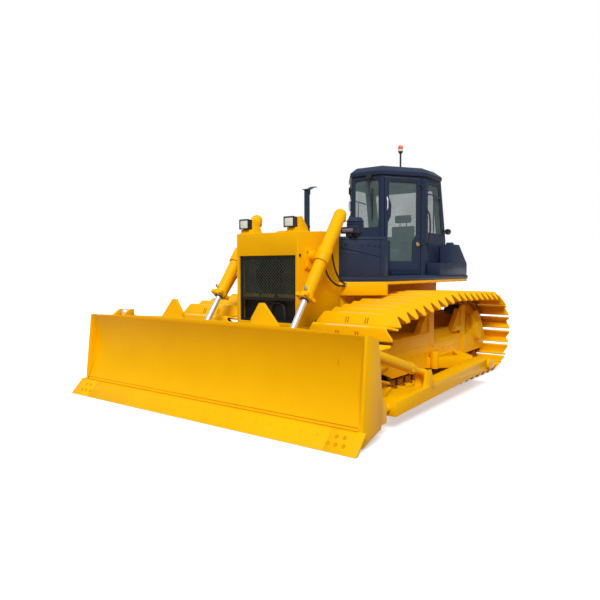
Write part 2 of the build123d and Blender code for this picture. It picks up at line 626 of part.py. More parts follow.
# Air intake with its cap, and the work lamp below it, on the left wedge.
INTAKE_X = 600
INTAKE_Y = -330
INTAKE_R = 105
INTAKE_NECK = 40
INTAKE_BODY = 190
INTAKE_CAP_R = 118
INTAKE_CAP = 245
with BuildPart() as air_intake:
    with Locations((INTAKE_X, INTAKE_Y, COWL_TOP + INTAKE_NECK / 2)):
        Cylinder(70, INTAKE_NECK)
    with Locations((INTAKE_X, INTAKE_Y, COWL_TOP + (INTAKE_NECK + INTAKE_BODY) / 2)):
        Cylinder(INTAKE_R, INTAKE_BODY - INTAKE_NECK)
    with Locations((INTAKE_X, INTAKE_Y, COWL_TOP + (INTAKE_BODY + INTAKE_CAP) / 2)):
        Cone(INTAKE_CAP_R, INTAKE_CAP_R - 40, INTAKE_CAP - INTAKE_BODY)
    slab(INTAKE_X - 150, INTAKE_X + 100, INTAKE_Y - 143, INTAKE_Y - 60, COWL_TOP + INTAKE_NECK,
         COWL_TOP + INTAKE_NECK + 80)
    slab(INTAKE_X - 60, INTAKE_X + 20, INTAKE_Y - 130, INTAKE_Y - 90, COWL_TOP, COWL_TOP + INTAKE_NECK)
finish(air_intake, "air_intake")

# Platforms: the dark deck and the fender plates under it.
DECK_PLAN = [(HULL_HALF, COWL_FRONT), (PLATFORM_HALF, PLATFORM_FRONT), (PLATFORM_HALF, TANK_REAR),
             (-PLATFORM_HALF, TANK_REAR), (-PLATFORM_HALF, PLATFORM_FRONT), (-HULL_HALF, COWL_FRONT)]
NOTCH = [(-HULL_HALF, CAB_FRONT), (HULL_HALF, CAB_FRONT)]
with BuildPart() as deck:
    plan(DECK_PLAN + NOTCH, DECK_LOW, DECK_TOP)
finish(deck, "deck")

with BuildPart() as fenders:
    plan([(HULL_HALF, COWL_FRONT), (PLATFORM_HALF, PLATFORM_FRONT), (PLATFORM_HALF, TANK_REAR - 40),
          (HULL_HALF, TANK_REAR - 40)], DECK_LOW - FENDER_SHEET, DECK_LOW)
    plan([(HULL_HALF, COWL_FRONT), (PLATFORM_HALF, PLATFORM_FRONT), (PLATFORM_HALF, PLATFORM_FRONT + 40),
          (HULL_HALF, COWL_FRONT + 40)], FENDER_DROP, DECK_LOW - FENDER_SHEET)
    mirror(about=Plane.YZ)
finish(fenders, "fenders")

# Tank across the back, with a wing and a low box beside the cab on each side.
SLANT = (TANK_TOP - TANK_SHOULDER) / (TANK_REAR - TANK_CREST)
with BuildPart() as fuel_tank:
    side_view([(TANK_FRONT, DECK_TOP), (TANK_REAR, DECK_TOP), (TANK_REAR, TANK_SHOULDER),
               (TANK_FRONT, TANK_SHOULDER + (TANK_REAR - TANK_FRONT) * SLANT)], -TANK_INNER, TANK_INNER)
    for side in (-1, 1):
        side_view([(TANK_WING, DECK_TOP), (TANK_REAR, DECK_TOP), (TANK_REAR, TANK_SHOULDER),
                   (TANK_CREST, TANK_TOP), (TANK_WING, TANK_TOP)], side * TANK_INNER, side * TANK_HALF)
        slab(side * TANK_INNER, side * TANK_HALF, BOX_FRONT, TANK_WING, DECK_TOP, TANK_SHOULDER)
finish(fuel_tank, "fuel_tank")

# Cab: a six-sided shell of sheet posts and low walls.
DOOR_RUN = math.hypot(CAB_HALF - CAB_NOSE_HALF, CAB_BELT - CAB_FRONT)
DOOR_X = (CAB_HALF - CAB_NOSE_HALF) / DOOR_RUN
DOOR_Y = (CAB_BELT - CAB_FRONT) / DOOR_RUN
LEFT_WALL = Plane(origin=(CAB_NOSE_HALF, CAB_FRONT, 0), x_dir=(DOOR_X, DOOR_Y, 0), z_dir=(DOOR_Y, -DOOR_X, 0))
POST_FRONT = 42
POST_REAR = 70
DOOR_START = POST_FRONT + DOOR_GAP
DOOR_END = DOOR_RUN - POST_REAR - DOOR_GAP
HINGE_ALONG = DOOR_RUN - POST_REAR - DOOR_GAP / 2


def cab_plan(inset):
    """The cab's six-sided outline, drawn in all round by a wall's thickness."""
    slope = inset * (1 - DOOR_X) / DOOR_Y
    corner = inset / DOOR_Y - inset * DOOR_X / DOOR_Y
    nose = CAB_NOSE_HALF - slope
    belt = CAB_BELT + corner
    right = [(nose, CAB_FRONT + inset), (CAB_HALF - inset, belt), (CAB_HALF - inset, CAB_REAR_LOW - inset)]
    return right + [(-x, y) for x, y in reversed(right)]


def cab_side(inset):
    """The cab's side outline with its leaning rear wall."""
    low = DECK_TOP - 10 if inset else DECK_TOP
    return [(CAB_FRONT - 10, low), (CAB_REAR_LOW - inset, low), (CAB_REAR_LOW - inset, CAB_KNEE),
            (CAB_REAR_TOP - inset, CAB_EAVE + (10 if inset else 0)),
            (CAB_FRONT - 10, CAB_EAVE + (10 if inset else 0))]


with BuildPart() as cab_hollow:
    plan(cab_plan(CAB_WALL), DECK_TOP - 10, CAB_EAVE + 10)
    side_view(cab_side(CAB_WALL), -CAB_HALF, CAB_HALF, mode=Mode.INTERSECT)

WINDSHIELD = [(-CAB_NOSE_HALF + 50, 2150), (CAB_NOSE_HALF - 50, 2150), (CAB_NOSE_HALF - 50, 2870),
              (-CAB_NOSE_HALF + 50, 2870)]
SIDE_GLASS = [(CAB_BELT + 90, 2080), (CAB_REAR_TOP + 70, 2080), (CAB_REAR_TOP - 75, 2850), (CAB_BELT + 90, 2850)]
DOOR_HOLE = [(POST_FRONT, DOOR_FLOOR - 8), (DOOR_RUN - POST_REAR, DOOR_FLOOR - 8),
             (DOOR_RUN - POST_REAR, DOOR_TOP + 12), (POST_FRONT, DOOR_TOP + 12)]
REAR_LEAN = math.degrees(math.atan2(CAB_REAR_LOW - CAB_REAR_TOP, CAB_EAVE - CAB_KNEE))
REAR_WALL = Plane(origin=(0, CAB_REAR_LOW, CAB_KNEE), x_dir=(-1, 0, 0),
                  z_dir=(0, math.cos(math.radians(REAR_LEAN)), math.sin(math.radians(REAR_LEAN))))
REAR_GLASS = [(-540, 80), (540, 80), (540, 820), (-540, 820)]


def hinge_sleeves(plane, levels, pin):
    """Stacked hinge sleeves outside a wall, with a leaf on one side."""
    for z0, z1, toward in levels:
        with BuildSketch(Plane(origin=plane.from_local_coords((HINGE_ALONG, z0, HINGE_STAND)), z_dir=(0, 0, 1))
                         ) as sleeve:
            Circle(HINGE_R)
            if not pin:
                Circle(HINGE_PIN + HINGE_RUN, mode=Mode.SUBTRACT)
        extrude(sleeve.sketch, amount=z1 - z0)
        edge = HINGE_ALONG + toward * 60
        start = HINGE_ALONG + toward * (HINGE_PIN + 2)
        outline([(start, z0), (edge, z0), (edge, z1), (start, z1)], plane, 9)


HINGES = (1890, 2760)
HINGE_TALL = 36
HINGE_SLIP = 0.5
with BuildPart() as cab_shell:
    plan(cab_plan(0), DECK_TOP, CAB_EAVE)
    side_view(cab_side(0), -CAB_HALF, CAB_HALF, mode=Mode.INTERSECT)
    add(cab_hollow.part, mode=Mode.SUBTRACT)
    pane(WINDSHIELD, Plane.XZ.offset(10 - CAB_FRONT), -CAB_WALL - 20, WINDOW_ROUND, mode=Mode.SUBTRACT)
    pane(SIDE_GLASS, Plane.YZ.offset(-CAB_HALF - 10), 2 * CAB_HALF + 20, WINDOW_ROUND, mode=Mode.SUBTRACT)
    pane(REAR_GLASS, REAR_WALL.offset(10), -CAB_WALL - 40, WINDOW_ROUND, mode=Mode.SUBTRACT)
    outline(DOOR_HOLE, LEFT_WALL.offset(10), -CAB_WALL - 40, mode=Mode.SUBTRACT)
    for z in HINGES:
        low = (z, z + HINGE_TALL, 1)
        high = (z + 2 * (HINGE_TALL + HINGE_SLIP), z + 3 * HINGE_TALL + 2 * HINGE_SLIP, 1)
        hinge_sleeves(LEFT_WALL, (low, high), True)
        with BuildSketch(Plane(origin=LEFT_WALL.from_local_coords((HINGE_ALONG, z, HINGE_STAND)),
                               z_dir=(0, 0, 1))) as pin:
            Circle(HINGE_PIN)
        extrude(pin.sketch, amount=3 * HINGE_TALL + 2 * HINGE_SLIP)
    split(bisect_by=Plane.YZ, keep=Keep.TOP)
    mirror(about=Plane.YZ)
finish(cab_shell, "cab_shell")

with BuildPart() as cab_glass:
    pane(WINDSHIELD, Plane.XZ.offset(-15 - CAB_FRONT), -GLASS, WINDOW_ROUND)
    for x in (-CAB_HALF + 15, CAB_HALF - 15 - GLASS):
        pane(SIDE_GLASS, Plane.YZ.offset(x), GLASS, WINDOW_ROUND)
    pane(REAR_GLASS, REAR_WALL.offset(-15), -GLASS, WINDOW_ROUND)
finish(cab_glass, "cab_glass")

with BuildPart() as cab_roof:
    with BuildSketch(Plane.XY.offset(CAB_EAVE)) as eave:
        with BuildLine():
            Polyline(*[(x, min(y, CAB_REAR_TOP)) for x, y in cab_plan(-ROOF_LIP)], close=True)
        make_face()
    extrude(eave.sketch, amount=60)
    extrude(Sketch() + Plane.XY.offset(CAB_EAVE + 60) * Plane.XY.offset(-CAB_EAVE) * eave.sketch,
            amount=ROOF_TOP - CAB_EAVE - 60, taper=50)
finish(cab_roof, "cab_roof")

# Doors, hung at their rear edges, with a pane each.
DOOR_PANE = [(DOOR_START + 70, 1640), (DOOR_END - 130, 1640), (DOOR_END - 120, 1960), (DOOR_END - 60, 2050),
             (DOOR_END - 60, 2840), (DOOR_START + 60, 2840), (DOOR_START + 60, 2600), (DOOR_START + 100, 2480),
             (DOOR_START + 90, 2320), (DOOR_START + 45, 2230), (DOOR_START + 35, 1900)]


def door(plane):
    """One door leaf with its window opening and hinge sleeves."""
    outline([(DOOR_START + 110, DOOR_FLOOR), (DOOR_END, DOOR_FLOOR), (DOOR_END, DOOR_TOP), (DOOR_START, DOOR_TOP),
             (DOOR_START, 1900)], plane, -DOOR_THICK)
    pane(DOOR_PANE, plane.offset(1), -DOOR_THICK - 2, PANE_ROUND, mode=Mode.SUBTRACT)
    for z in HINGES:
        low = z + HINGE_TALL + HINGE_SLIP
        hinge_sleeves(plane, ((low, low + HINGE_TALL, -1),), False)


with BuildPart() as door_left:
    door(LEFT_WALL)
with BuildPart() as door_glass_left:
    pane(DOOR_PANE, LEFT_WALL.offset(-15), -GLASS, PANE_ROUND)
with BuildPart() as door_right:
    mirror(door_left.part, about=Plane.YZ)
with BuildPart() as door_glass_right:
    mirror(door_glass_left.part, about=Plane.YZ)
finish(door_left, "door_left")
finish(door_glass_left, "door_glass_left")
finish(door_right, "door_right")
finish(door_glass_right, "door_glass_right")

# Inside the cab: seat on its box, and the lever console.
with BuildPart() as seat:
    slab(-210, 210, 1620, 2050, DECK_TOP, 1700)
    slab(-240, 240, 1560, 2080, 1700, 1850)
    slab(-230, 230, 2060, 2170, 1800, 2270)
    slab(-190, 190, 2070, 2150, 2270, 2440)
finish(seat, "seat")

with BuildPart() as console:
    slab(-190, 190, CAB_FRONT + CAB_WALL, CAB_FRONT + 180, DECK_TOP, 2120)
    for side in (-1, 1):
        slab(side * 270, side * 400, 1480, 1980, DECK_TOP, 1960)
        rod_between((side * 335, 1540, 1950), (side * 335, 1500, 2090), 12)
        with Locations((side * 335, 1498, 2105)):
            Sphere(28)
finish(console, "console")

with BuildPart() as beacon:
    with Locations((BEACON_X, BEACON_Y, (ROOF_TOP + BEACON_TOP - 90) / 2)):
        Cylinder(14, BEACON_TOP - 90 - ROOF_TOP)
    with Locations((BEACON_X, BEACON_Y, BEACON_TOP - 45)):
        Cylinder(42, 90)
finish(beacon, "beacon")

STRUT_RUN = math.hypot(BRACE_HEAD[0] - STRUT_FOOT[0], BRACE_HEAD[1] - STRUT_FOOT[1])
STRUT_X = (BRACE_HEAD[0] - STRUT_FOOT[0]) / STRUT_RUN
STRUT_Y = (BRACE_HEAD[1] - STRUT_FOOT[1]) / STRUT_RUN


def strut_plane(point, side):
    """An upright plane through a strut's end, along the strut, on one side of the machine."""
    return Plane(origin=(side * point[0], point[1], point[2]), x_dir=(side * STRUT_X, STRUT_Y, 0),
                 z_dir=(STRUT_Y, -side * STRUT_X, 0))


# Blade: curved moldboard, end plates and the beams behind it.
SLOPE = math.atan2(EDGE_JOINT[1] - EDGE_TIP[1], EDGE_JOINT[0] - EDGE_TIP[0])
STEP_Y = EDGE_THICK * math.sin(SLOPE)
STEP_Z = EDGE_THICK * math.cos(SLOPE)
FACE_LOW = (EDGE_JOINT[0] + STEP_Y, EDGE_JOINT[1] - STEP_Z)
LIP = (EDGE_TIP[0] + STEP_Y + 60 * math.cos(SLOPE), EDGE_TIP[1] - STEP_Z + 60 * math.sin(SLOPE))
BACK_TOP = (-2188, 911)
BACK_LEDGE = (-2113, 309)
BACK_LOW = (-2112, 218)
BACK_FOOT = (-2147, 124)
HEEL = (-2437, 30)


def moldboard_sketch(plane, back):
    """The blade's side section: its curved face closed by the points behind it."""
    with BuildSketch(plane) as section:
        with BuildLine():
            ThreePointArc(FACE_LOW, BLADE_MIDDLE, BLADE_CREST)
            Polyline(BLADE_CREST, *back, LIP, FACE_LOW)
        make_face()
    return section.sketch


PLATE_BACK = [(BLADE_CREST[0] + BLADE_PLATE, BLADE_CREST[1]), (BLADE_MIDDLE[0] + 30, 700),
              (BLADE_MIDDLE[0] + 26, 420), (FACE_LOW[0] + 45, FACE_LOW[1]), (LIP[0] + 40, LIP[1])]
END_PLATE = [FACE_LOW, BLADE_CREST, (BLADE_CREST[0] + 60, BLADE_CREST[1]), BACK_TOP, BACK_LEDGE, BACK_LOW,
             BACK_FOOT, HEEL, LIP]
UPPER_BEAM = [(-2335, 780), (-2338, 880), (-2345, 935), BACK_TOP, (-2200, 780)]
LOWER_BEAM = [(-2380, 300), (-2300, 330), (-2170, 250), BACK_FOOT, HEEL, (-2480, 90)]
with BuildPart() as blade:
    extrude(moldboard_sketch(Plane.YZ.offset(-BLADE_HALF), PLATE_BACK), amount=2 * BLADE_HALF)
    front_view([(-BLADE_HALF, BLADE_CREST[1] - 1), (BLADE_HALF, BLADE_CREST[1] - 1),
                (BLADE_HALF / 3, BLADE_CREST[1] + BLADE_CROWN), (-BLADE_HALF / 3, BLADE_CREST[1] + BLADE_CROWN)],
               BLADE_CREST[0], BLADE_CREST[0] + BLADE_PLATE)
    for side in (-1, 1):
        side_view(END_PLATE, side * BLADE_HALF, side * (BLADE_HALF - BLADE_END))
    side_view(UPPER_BEAM, -BLADE_HALF, BLADE_HALF)
    side_view(LOWER_BEAM, -BLADE_HALF, BLADE_HALF)
    for x in (-1380, -1100, 0, 1100, 1380):
        side_view([(-2310, 250), (-2320, 860), (-2200, 800), (-2170, 250)], x - 12, x + 12)
    for side in (-1, 1):
        for face in (-1, 1):
            inner = side * EAR_X + face * EAR_GAP / 2
            side_view([(-2310, 260), (-2300, 720), (EAR_PIN[0] + 20, EAR_PIN[1] + 75), (EAR_PIN[0] + 75, EAR_PIN[1]),
                       (EAR_PIN[0] + 20, EAR_PIN[1] - 75), (-2170, 260)], inner, inner + face * EAR_PLATE)
        front_view([(side * 527, 900), (side * 884, 900), (side * 884, 975), (side * 690, 1190),
                    (side * 640, 1190), (side * 527, 1030)], BACK_TOP[0] - 6, BACK_TOP[0] + 30)
    for head, side in ((BRACE_HEAD, 1), (TILT_HEAD, -1)):
        for face in (-1, 1):
            outline([(-50, -55), (-50, 45), (20, 45), (190, -50), (190, -150), (60, -150)],
                    strut_plane(head, side).offset(face * (STRUT_R + STRUT_ROOM)), face * STRUT_EAR)
    for side, room in ((1, TOUCH), (-1, BALL_ROOM)):
        x = side * ARM_X
        slab(x - 95, x + 95, -2180, BALL_Y + 30, 118, 300)
        with Locations((x, BALL_Y, BALL_Z)):
            Sphere(BALL_R + room, mode=Mode.SUBTRACT)
        with Locations(Location((x, BALL_Y + 60, BALL_Z), (90, 0, 0))):
            Cylinder(NECK_R + 2 + room, 120, mode=Mode.SUBTRACT)
finish(blade, "blade")

BIT_INNER = BLADE_HALF + BIT_REACH - BIT_WIDTH
with BuildPart() as cutting_edge:
    side_view([EDGE_TIP, EDGE_JOINT, FACE_LOW, (EDGE_TIP[0] + STEP_Y * 1.6, EDGE_TIP[1])],
              -BIT_INNER, BIT_INNER)
finish(cutting_edge, "cutting_edge")

with BuildPart() as end_bits:
    side_view([EDGE_TIP, EDGE_JOINT, FACE_LOW, (EDGE_TIP[0] + STEP_Y * 1.6, EDGE_TIP[1])],
              BIT_INNER, BLADE_HALF + BIT_REACH)
    mirror(about=Plane.YZ)
finish(end_bits, "end_bits")

# Push arms outside the tracks, each a beam with a trunnion eye and a front ball.
ARM_SLOPE = (TRUNNION_Z - ARM_FRONT_Z) / (TRUNNION_Y - ARM_FRONT_Y)
with BuildPart() as push_arm_left:
    half = ARM_HEIGHT / 2
    side_view([(TRUNNION_Y, TRUNNION_Z - half), (ARM_FRONT_Y, ARM_FRONT_Z - half + 4),
               (ARM_FRONT_Y, ARM_FRONT_Z + half - 4), (TRUNNION_Y, TRUNNION_Z + half)],
              ARM_X - ARM_WIDTH / 2, ARM_X + ARM_WIDTH / 2)
    bar(ARM_X - ARM_WIDTH / 2, ARM_X + ARM_WIDTH / 2, TRUNNION_Y, TRUNNION_Z, half)
    bar(ARM_X - ARM_WIDTH, ARM_X + ARM_WIDTH, TRUNNION_Y, TRUNNION_Z, TRUNNION_R + PIN_RUN, mode=Mode.SUBTRACT)
    rod_between((ARM_X, ARM_FRONT_Y + 20, BALL_Z), (ARM_X, BALL_Y, BALL_Z), NECK_R)
    with Locations((ARM_X, BALL_Y, BALL_Z)):
        Sphere(BALL_R)
    for face in (-1, 1):
        outline([(-110, -160), (90, -160), (40, 40), (-40, 40)],
                strut_plane(STRUT_FOOT, 1).offset(face * (STRUT_BALL + 0.5)), face * STRUT_EAR)
with BuildPart() as push_arm_right:
    mirror(push_arm_left.part, about=Plane.YZ)
finish(push_arm_left, "push_arm_left")
finish(push_arm_right, "push_arm_right")


def along(start, end, share):
    """A point on the line between two points."""
    return tuple(a + (b - a) * share for a, b in zip(start, end))


# Left brace and right tilt cylinder, from the arms up to the blade.
STRUT_PIN = 32
with BuildPart() as brace:
    with Locations(STRUT_FOOT):
        Sphere(STRUT_BALL)
    rod_between(STRUT_FOOT, along(STRUT_FOOT, BRACE_HEAD, 0.2), STRUT_PIN)
    rod_between(along(STRUT_FOOT, BRACE_HEAD, 0.16), BRACE_HEAD, STRUT_R)
    with Locations(BRACE_HEAD):
        Sphere(STRUT_R)
finish(brace, "brace")

RIGHT_FOOT = (-STRUT_FOOT[0], STRUT_FOOT[1], STRUT_FOOT[2])
RIGHT_HEAD = (-TILT_HEAD[0], TILT_HEAD[1], TILT_HEAD[2])
TILT_ROD_R = 35
with BuildPart() as tilt_barrel:
    with Locations(RIGHT_FOOT):
        Sphere(STRUT_BALL)
    rod_between(RIGHT_FOOT, along(RIGHT_FOOT, RIGHT_HEAD, 0.2), STRUT_PIN)
    rod_between(along(RIGHT_FOOT, RIGHT_HEAD, 0.16), along(RIGHT_FOOT, RIGHT_HEAD, 0.72), STRUT_R)
    rod_between(along(RIGHT_FOOT, RIGHT_HEAD, 0.3), along(RIGHT_FOOT, RIGHT_HEAD, 0.75), TILT_ROD_R + PIN_RUN,
                mode=Mode.SUBTRACT)
finish(tilt_barrel, "tilt_barrel")

with BuildPart() as tilt_rod:
    rod_between(along(RIGHT_FOOT, RIGHT_HEAD, 0.42), RIGHT_HEAD, TILT_ROD_R)
    with Locations(RIGHT_HEAD):
        Sphere(STRUT_R)
finish(tilt_rod, "tilt_rod")

# Lift cylinders on yokes at the hood's sides.
LIFT_RUN = math.hypot(EAR_PIN[0] - YOKE_Y, EAR_PIN[1] - YOKE_Z)
LIFT_Y = (EAR_PIN[0] - YOKE_Y) / LIFT_RUN
LIFT_Z = (EAR_PIN[1] - YOKE_Z) / LIFT_RUN


def on_lift(distance):
    """A point on the left lift cylinder's axis, measured from its yoke towards the blade."""
    return (EAR_X, YOKE_Y + LIFT_Y * distance, YOKE_Z + LIFT_Z * distance)


YOKE_PIN = 32
COLLAR_R = BARREL_R + BARREL_COLLAR
with BuildPart() as lift_brackets:
    side_view([(YOKE_Y - 110, YOKE_Z - 150), (YOKE_Y + 110, YOKE_Z - 150), (YOKE_Y + 110, YOKE_Z + 90),
               (YOKE_Y - 110, YOKE_Z + 90)], HULL_HALF, HULL_HALF + 20)
    bar(HULL_HALF, EAR_X - COLLAR_R - 6, YOKE_Y, YOKE_Z, 60)
    bar(HULL_HALF, EAR_X - BARREL_BORE - 8, YOKE_Y, YOKE_Z, YOKE_PIN)
    mirror(about=Plane.YZ)
finish(lift_brackets, "lift_brackets")

with BuildPart() as lift_barrel_left:
    rod_between(on_lift(BARREL_R - BARREL_ABOVE), on_lift(BARREL_BELOW), BARREL_R)
    with Locations(on_lift(BARREL_R - BARREL_ABOVE)):
        Sphere(BARREL_R)
    rod_between(on_lift(-90), on_lift(90), COLLAR_R)
    rod_between(on_lift(BARREL_BELOW - 60), on_lift(BARREL_BELOW), BARREL_R + 14)
    rod_between(on_lift(BARREL_END - BARREL_ABOVE + 5), on_lift(BARREL_BELOW - BARREL_END), BARREL_BORE,
                mode=Mode.SUBTRACT)
    rod_between(on_lift(0), on_lift(BARREL_BELOW + 10), ROD_R + PIN_RUN, mode=Mode.SUBTRACT)
    bar(EAR_X - COLLAR_R - 6, EAR_X - BARREL_BORE - 4, YOKE_Y, YOKE_Z, YOKE_PIN + PIN_RUN, mode=Mode.SUBTRACT)
with BuildPart() as lift_rod_left:
    rod_between(on_lift(LIFT_RUN - ROD_LENGTH), on_lift(LIFT_RUN), ROD_R)
    rod_between(on_lift(LIFT_RUN - ROD_LENGTH), on_lift(LIFT_RUN - ROD_LENGTH + PISTON), PISTON_R)
    bar(EAR_X - EYE_WIDTH / 2, EAR_X + EYE_WIDTH / 2, EAR_PIN[0], EAR_PIN[1], EYE_R)
    bar(EAR_X - EYE_WIDTH / 2 - 8, EAR_X + EYE_WIDTH / 2 + 8, EAR_PIN[0], EAR_PIN[1], 28)
with BuildPart() as lift_barrel_right:
    mirror(lift_barrel_left.part, about=Plane.YZ)
with BuildPart() as lift_rod_right:
    mirror(lift_rod_left.part, about=Plane.YZ)
finish(lift_barrel_left, "lift_barrel_left")
finish(lift_rod_left, "lift_rod_left")
finish(lift_barrel_right, "lift_barrel_right")
finish(lift_rod_right, "lift_rod_right")
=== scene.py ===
import bpy
import json
import math
from contextlib import contextmanager
from bpy.props import FloatProperty, FloatVectorProperty, PointerProperty
from mathutils import Matrix, Vector

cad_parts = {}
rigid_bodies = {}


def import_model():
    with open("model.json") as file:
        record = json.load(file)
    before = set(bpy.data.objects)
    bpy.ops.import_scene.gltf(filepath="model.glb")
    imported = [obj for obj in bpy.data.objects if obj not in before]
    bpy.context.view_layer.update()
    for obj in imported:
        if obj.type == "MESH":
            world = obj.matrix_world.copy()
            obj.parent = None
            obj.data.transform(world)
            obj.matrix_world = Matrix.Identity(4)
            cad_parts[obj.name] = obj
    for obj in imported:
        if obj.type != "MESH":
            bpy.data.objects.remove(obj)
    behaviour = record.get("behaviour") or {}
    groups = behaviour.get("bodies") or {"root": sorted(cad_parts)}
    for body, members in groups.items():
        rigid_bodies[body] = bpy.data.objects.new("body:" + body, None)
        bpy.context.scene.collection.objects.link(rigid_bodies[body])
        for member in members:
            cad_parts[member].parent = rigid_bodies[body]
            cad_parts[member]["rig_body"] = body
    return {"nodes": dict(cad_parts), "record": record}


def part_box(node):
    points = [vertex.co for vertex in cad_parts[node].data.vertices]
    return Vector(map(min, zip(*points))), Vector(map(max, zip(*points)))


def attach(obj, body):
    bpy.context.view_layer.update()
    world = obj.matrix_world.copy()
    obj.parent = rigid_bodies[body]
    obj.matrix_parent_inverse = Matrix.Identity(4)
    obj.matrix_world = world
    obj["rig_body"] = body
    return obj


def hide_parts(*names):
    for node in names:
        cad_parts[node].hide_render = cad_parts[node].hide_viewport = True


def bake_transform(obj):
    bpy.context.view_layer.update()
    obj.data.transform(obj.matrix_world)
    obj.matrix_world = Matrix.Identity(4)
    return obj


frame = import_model()

bl_info = {
    "name": "Swamp Dozer Dressing",
    "version": (1, 0, 0),
    "blender": (4, 5, 0),
    "location": "3D View > Sidebar > Dozer",
    "description": "Paints a crawler dozer's packed frame and adds its bolts, hoses, seals and glass",
    "category": "Object",
}

CHASSIS = "chassis"
DECK_TOP = 1.430
BEVEL_ANGLE = 30
ORIGIN = (0, 0, 0)
LEFTWARD = Vector((1, 0, 0))
REARWARD = Vector((0, 1, 0))
ABOVE = Vector((0, 0, 1))


# Colours and sizes that a user would change

def srgb(code):
    """A hex colour as linear red, green, blue and 1."""
    channels = [int(code[i:i + 2], 16) / 255 for i in (1, 3, 5)]
    return tuple(c / 12.92 if c <= 0.04045 else ((c + 0.055) / 1.055) ** 2.4 for c in channels) + (1.0,)


def colour_property(label, code, about):
    """A colour that starts at a hex value."""
    return FloatVectorProperty(name=label, description=about, subtype="COLOR", size=4, min=0, max=1,
                               default=srgb(code))


class DOZER_PG_paint(bpy.types.PropertyGroup):
    yellow: colour_property("Yellow", "#FFBE00", "Enamel on frame, blade, hood and tracks")
    slate: colour_property("Slate", "#2E3A52", "Enamel on cab, cowl and tank")
    iron: colour_property("Iron", "#3A302A", "Oiled castings of rollers and engine")
    rubber: colour_property("Rubber", "#15161A", "Window seals and hoses")
    glass: colour_property("Glass", "#7C9698", "Tinted safety glass")
    amber: colour_property("Amber", "#F0642A", "Lens of the beacon")
    seat: colour_property("Seat cloth", "#4B5C66", "Cover of the driver's seat")


class DOZER_PG_sheet(bpy.types.PropertyGroup):
    edge: FloatProperty(name="Edge", description="Rounding of bent and cut sheet edges", unit="LENGTH",
                        default=0.006, min=0.001, max=0.02)


class DOZER_PG_stage(bpy.types.PropertyGroup):
    lens: FloatProperty(name="Lens", description="Focal length for the photograph's view", unit="CAMERA",
                        default=33.95, min=10, max=200)
    key: FloatProperty(name="Key", description="Strength of the main light", default=2.35, min=0, max=20)
    sky: FloatProperty(name="Sky", description="Strength of the soft light all round", default=0.62, min=0,
                       max=5)


def settings(name):
    """One group of this file's settings in the scene."""
    return getattr(bpy.context.scene, "dozer_" + name)


# Shader building

def add_node(tree, kind, values=None, links=None):
    """One node with its settings and links; a value goes to the socket of that name, or else to the node."""
    made = tree.nodes.new(kind)
    for key, value in (values or {}).items():
        if isinstance(key, int) or key in made.inputs:
            made.inputs[key].default_value = value
        else:
            setattr(made, key, value)
    for key, source in (links or {}).items():
        tree.links.new(source, made.inputs[key])
    return made


def new_finish(name, **values):
    """A material with one Principled shader and object coordinates."""
    material = bpy.data.materials.new(name)
    material.use_nodes = True
    tree = material.node_tree
    shader = tree.nodes["Principled BSDF"]
    for key, value in values.items():
        shader.inputs[key.replace("_", " ")].default_value = value
    place = add_node(tree, "ShaderNodeTexCoord").outputs["Object"]
    return material, tree, shader, place


def feed(tree, shader, **sources):
    """Links outputs to the shader's sockets of those names."""
    for key, source in sources.items():
        tree.links.new(source, shader.inputs[key.replace("_", " ")])


def shaded(colour, share):
    """A colour made darker, or lighter where the share is over 1."""
    return tuple(min(1.0, c * share) for c in colour[:3]) + (1.0,)


def weathered(tree, shader, pattern, colour, shares, roughness):
    """Base colour, as two shares of one colour, and roughness that drift together with a pattern."""
    tone = add_node(tree, "ShaderNodeMix",
                    {"data_type": "RGBA", 6: shaded(colour, shares[0]), 7: shaded(colour, shares[1])},
                    {0: pattern})
    dull = add_node(tree, "ShaderNodeMapRange", {"To Min": roughness[0], "To Max": roughness[1]},
                    {"Value": pattern})
    feed(tree, shader, Base_Color=tone.outputs[2], Roughness=dull.outputs[0])


FINISHES = {}


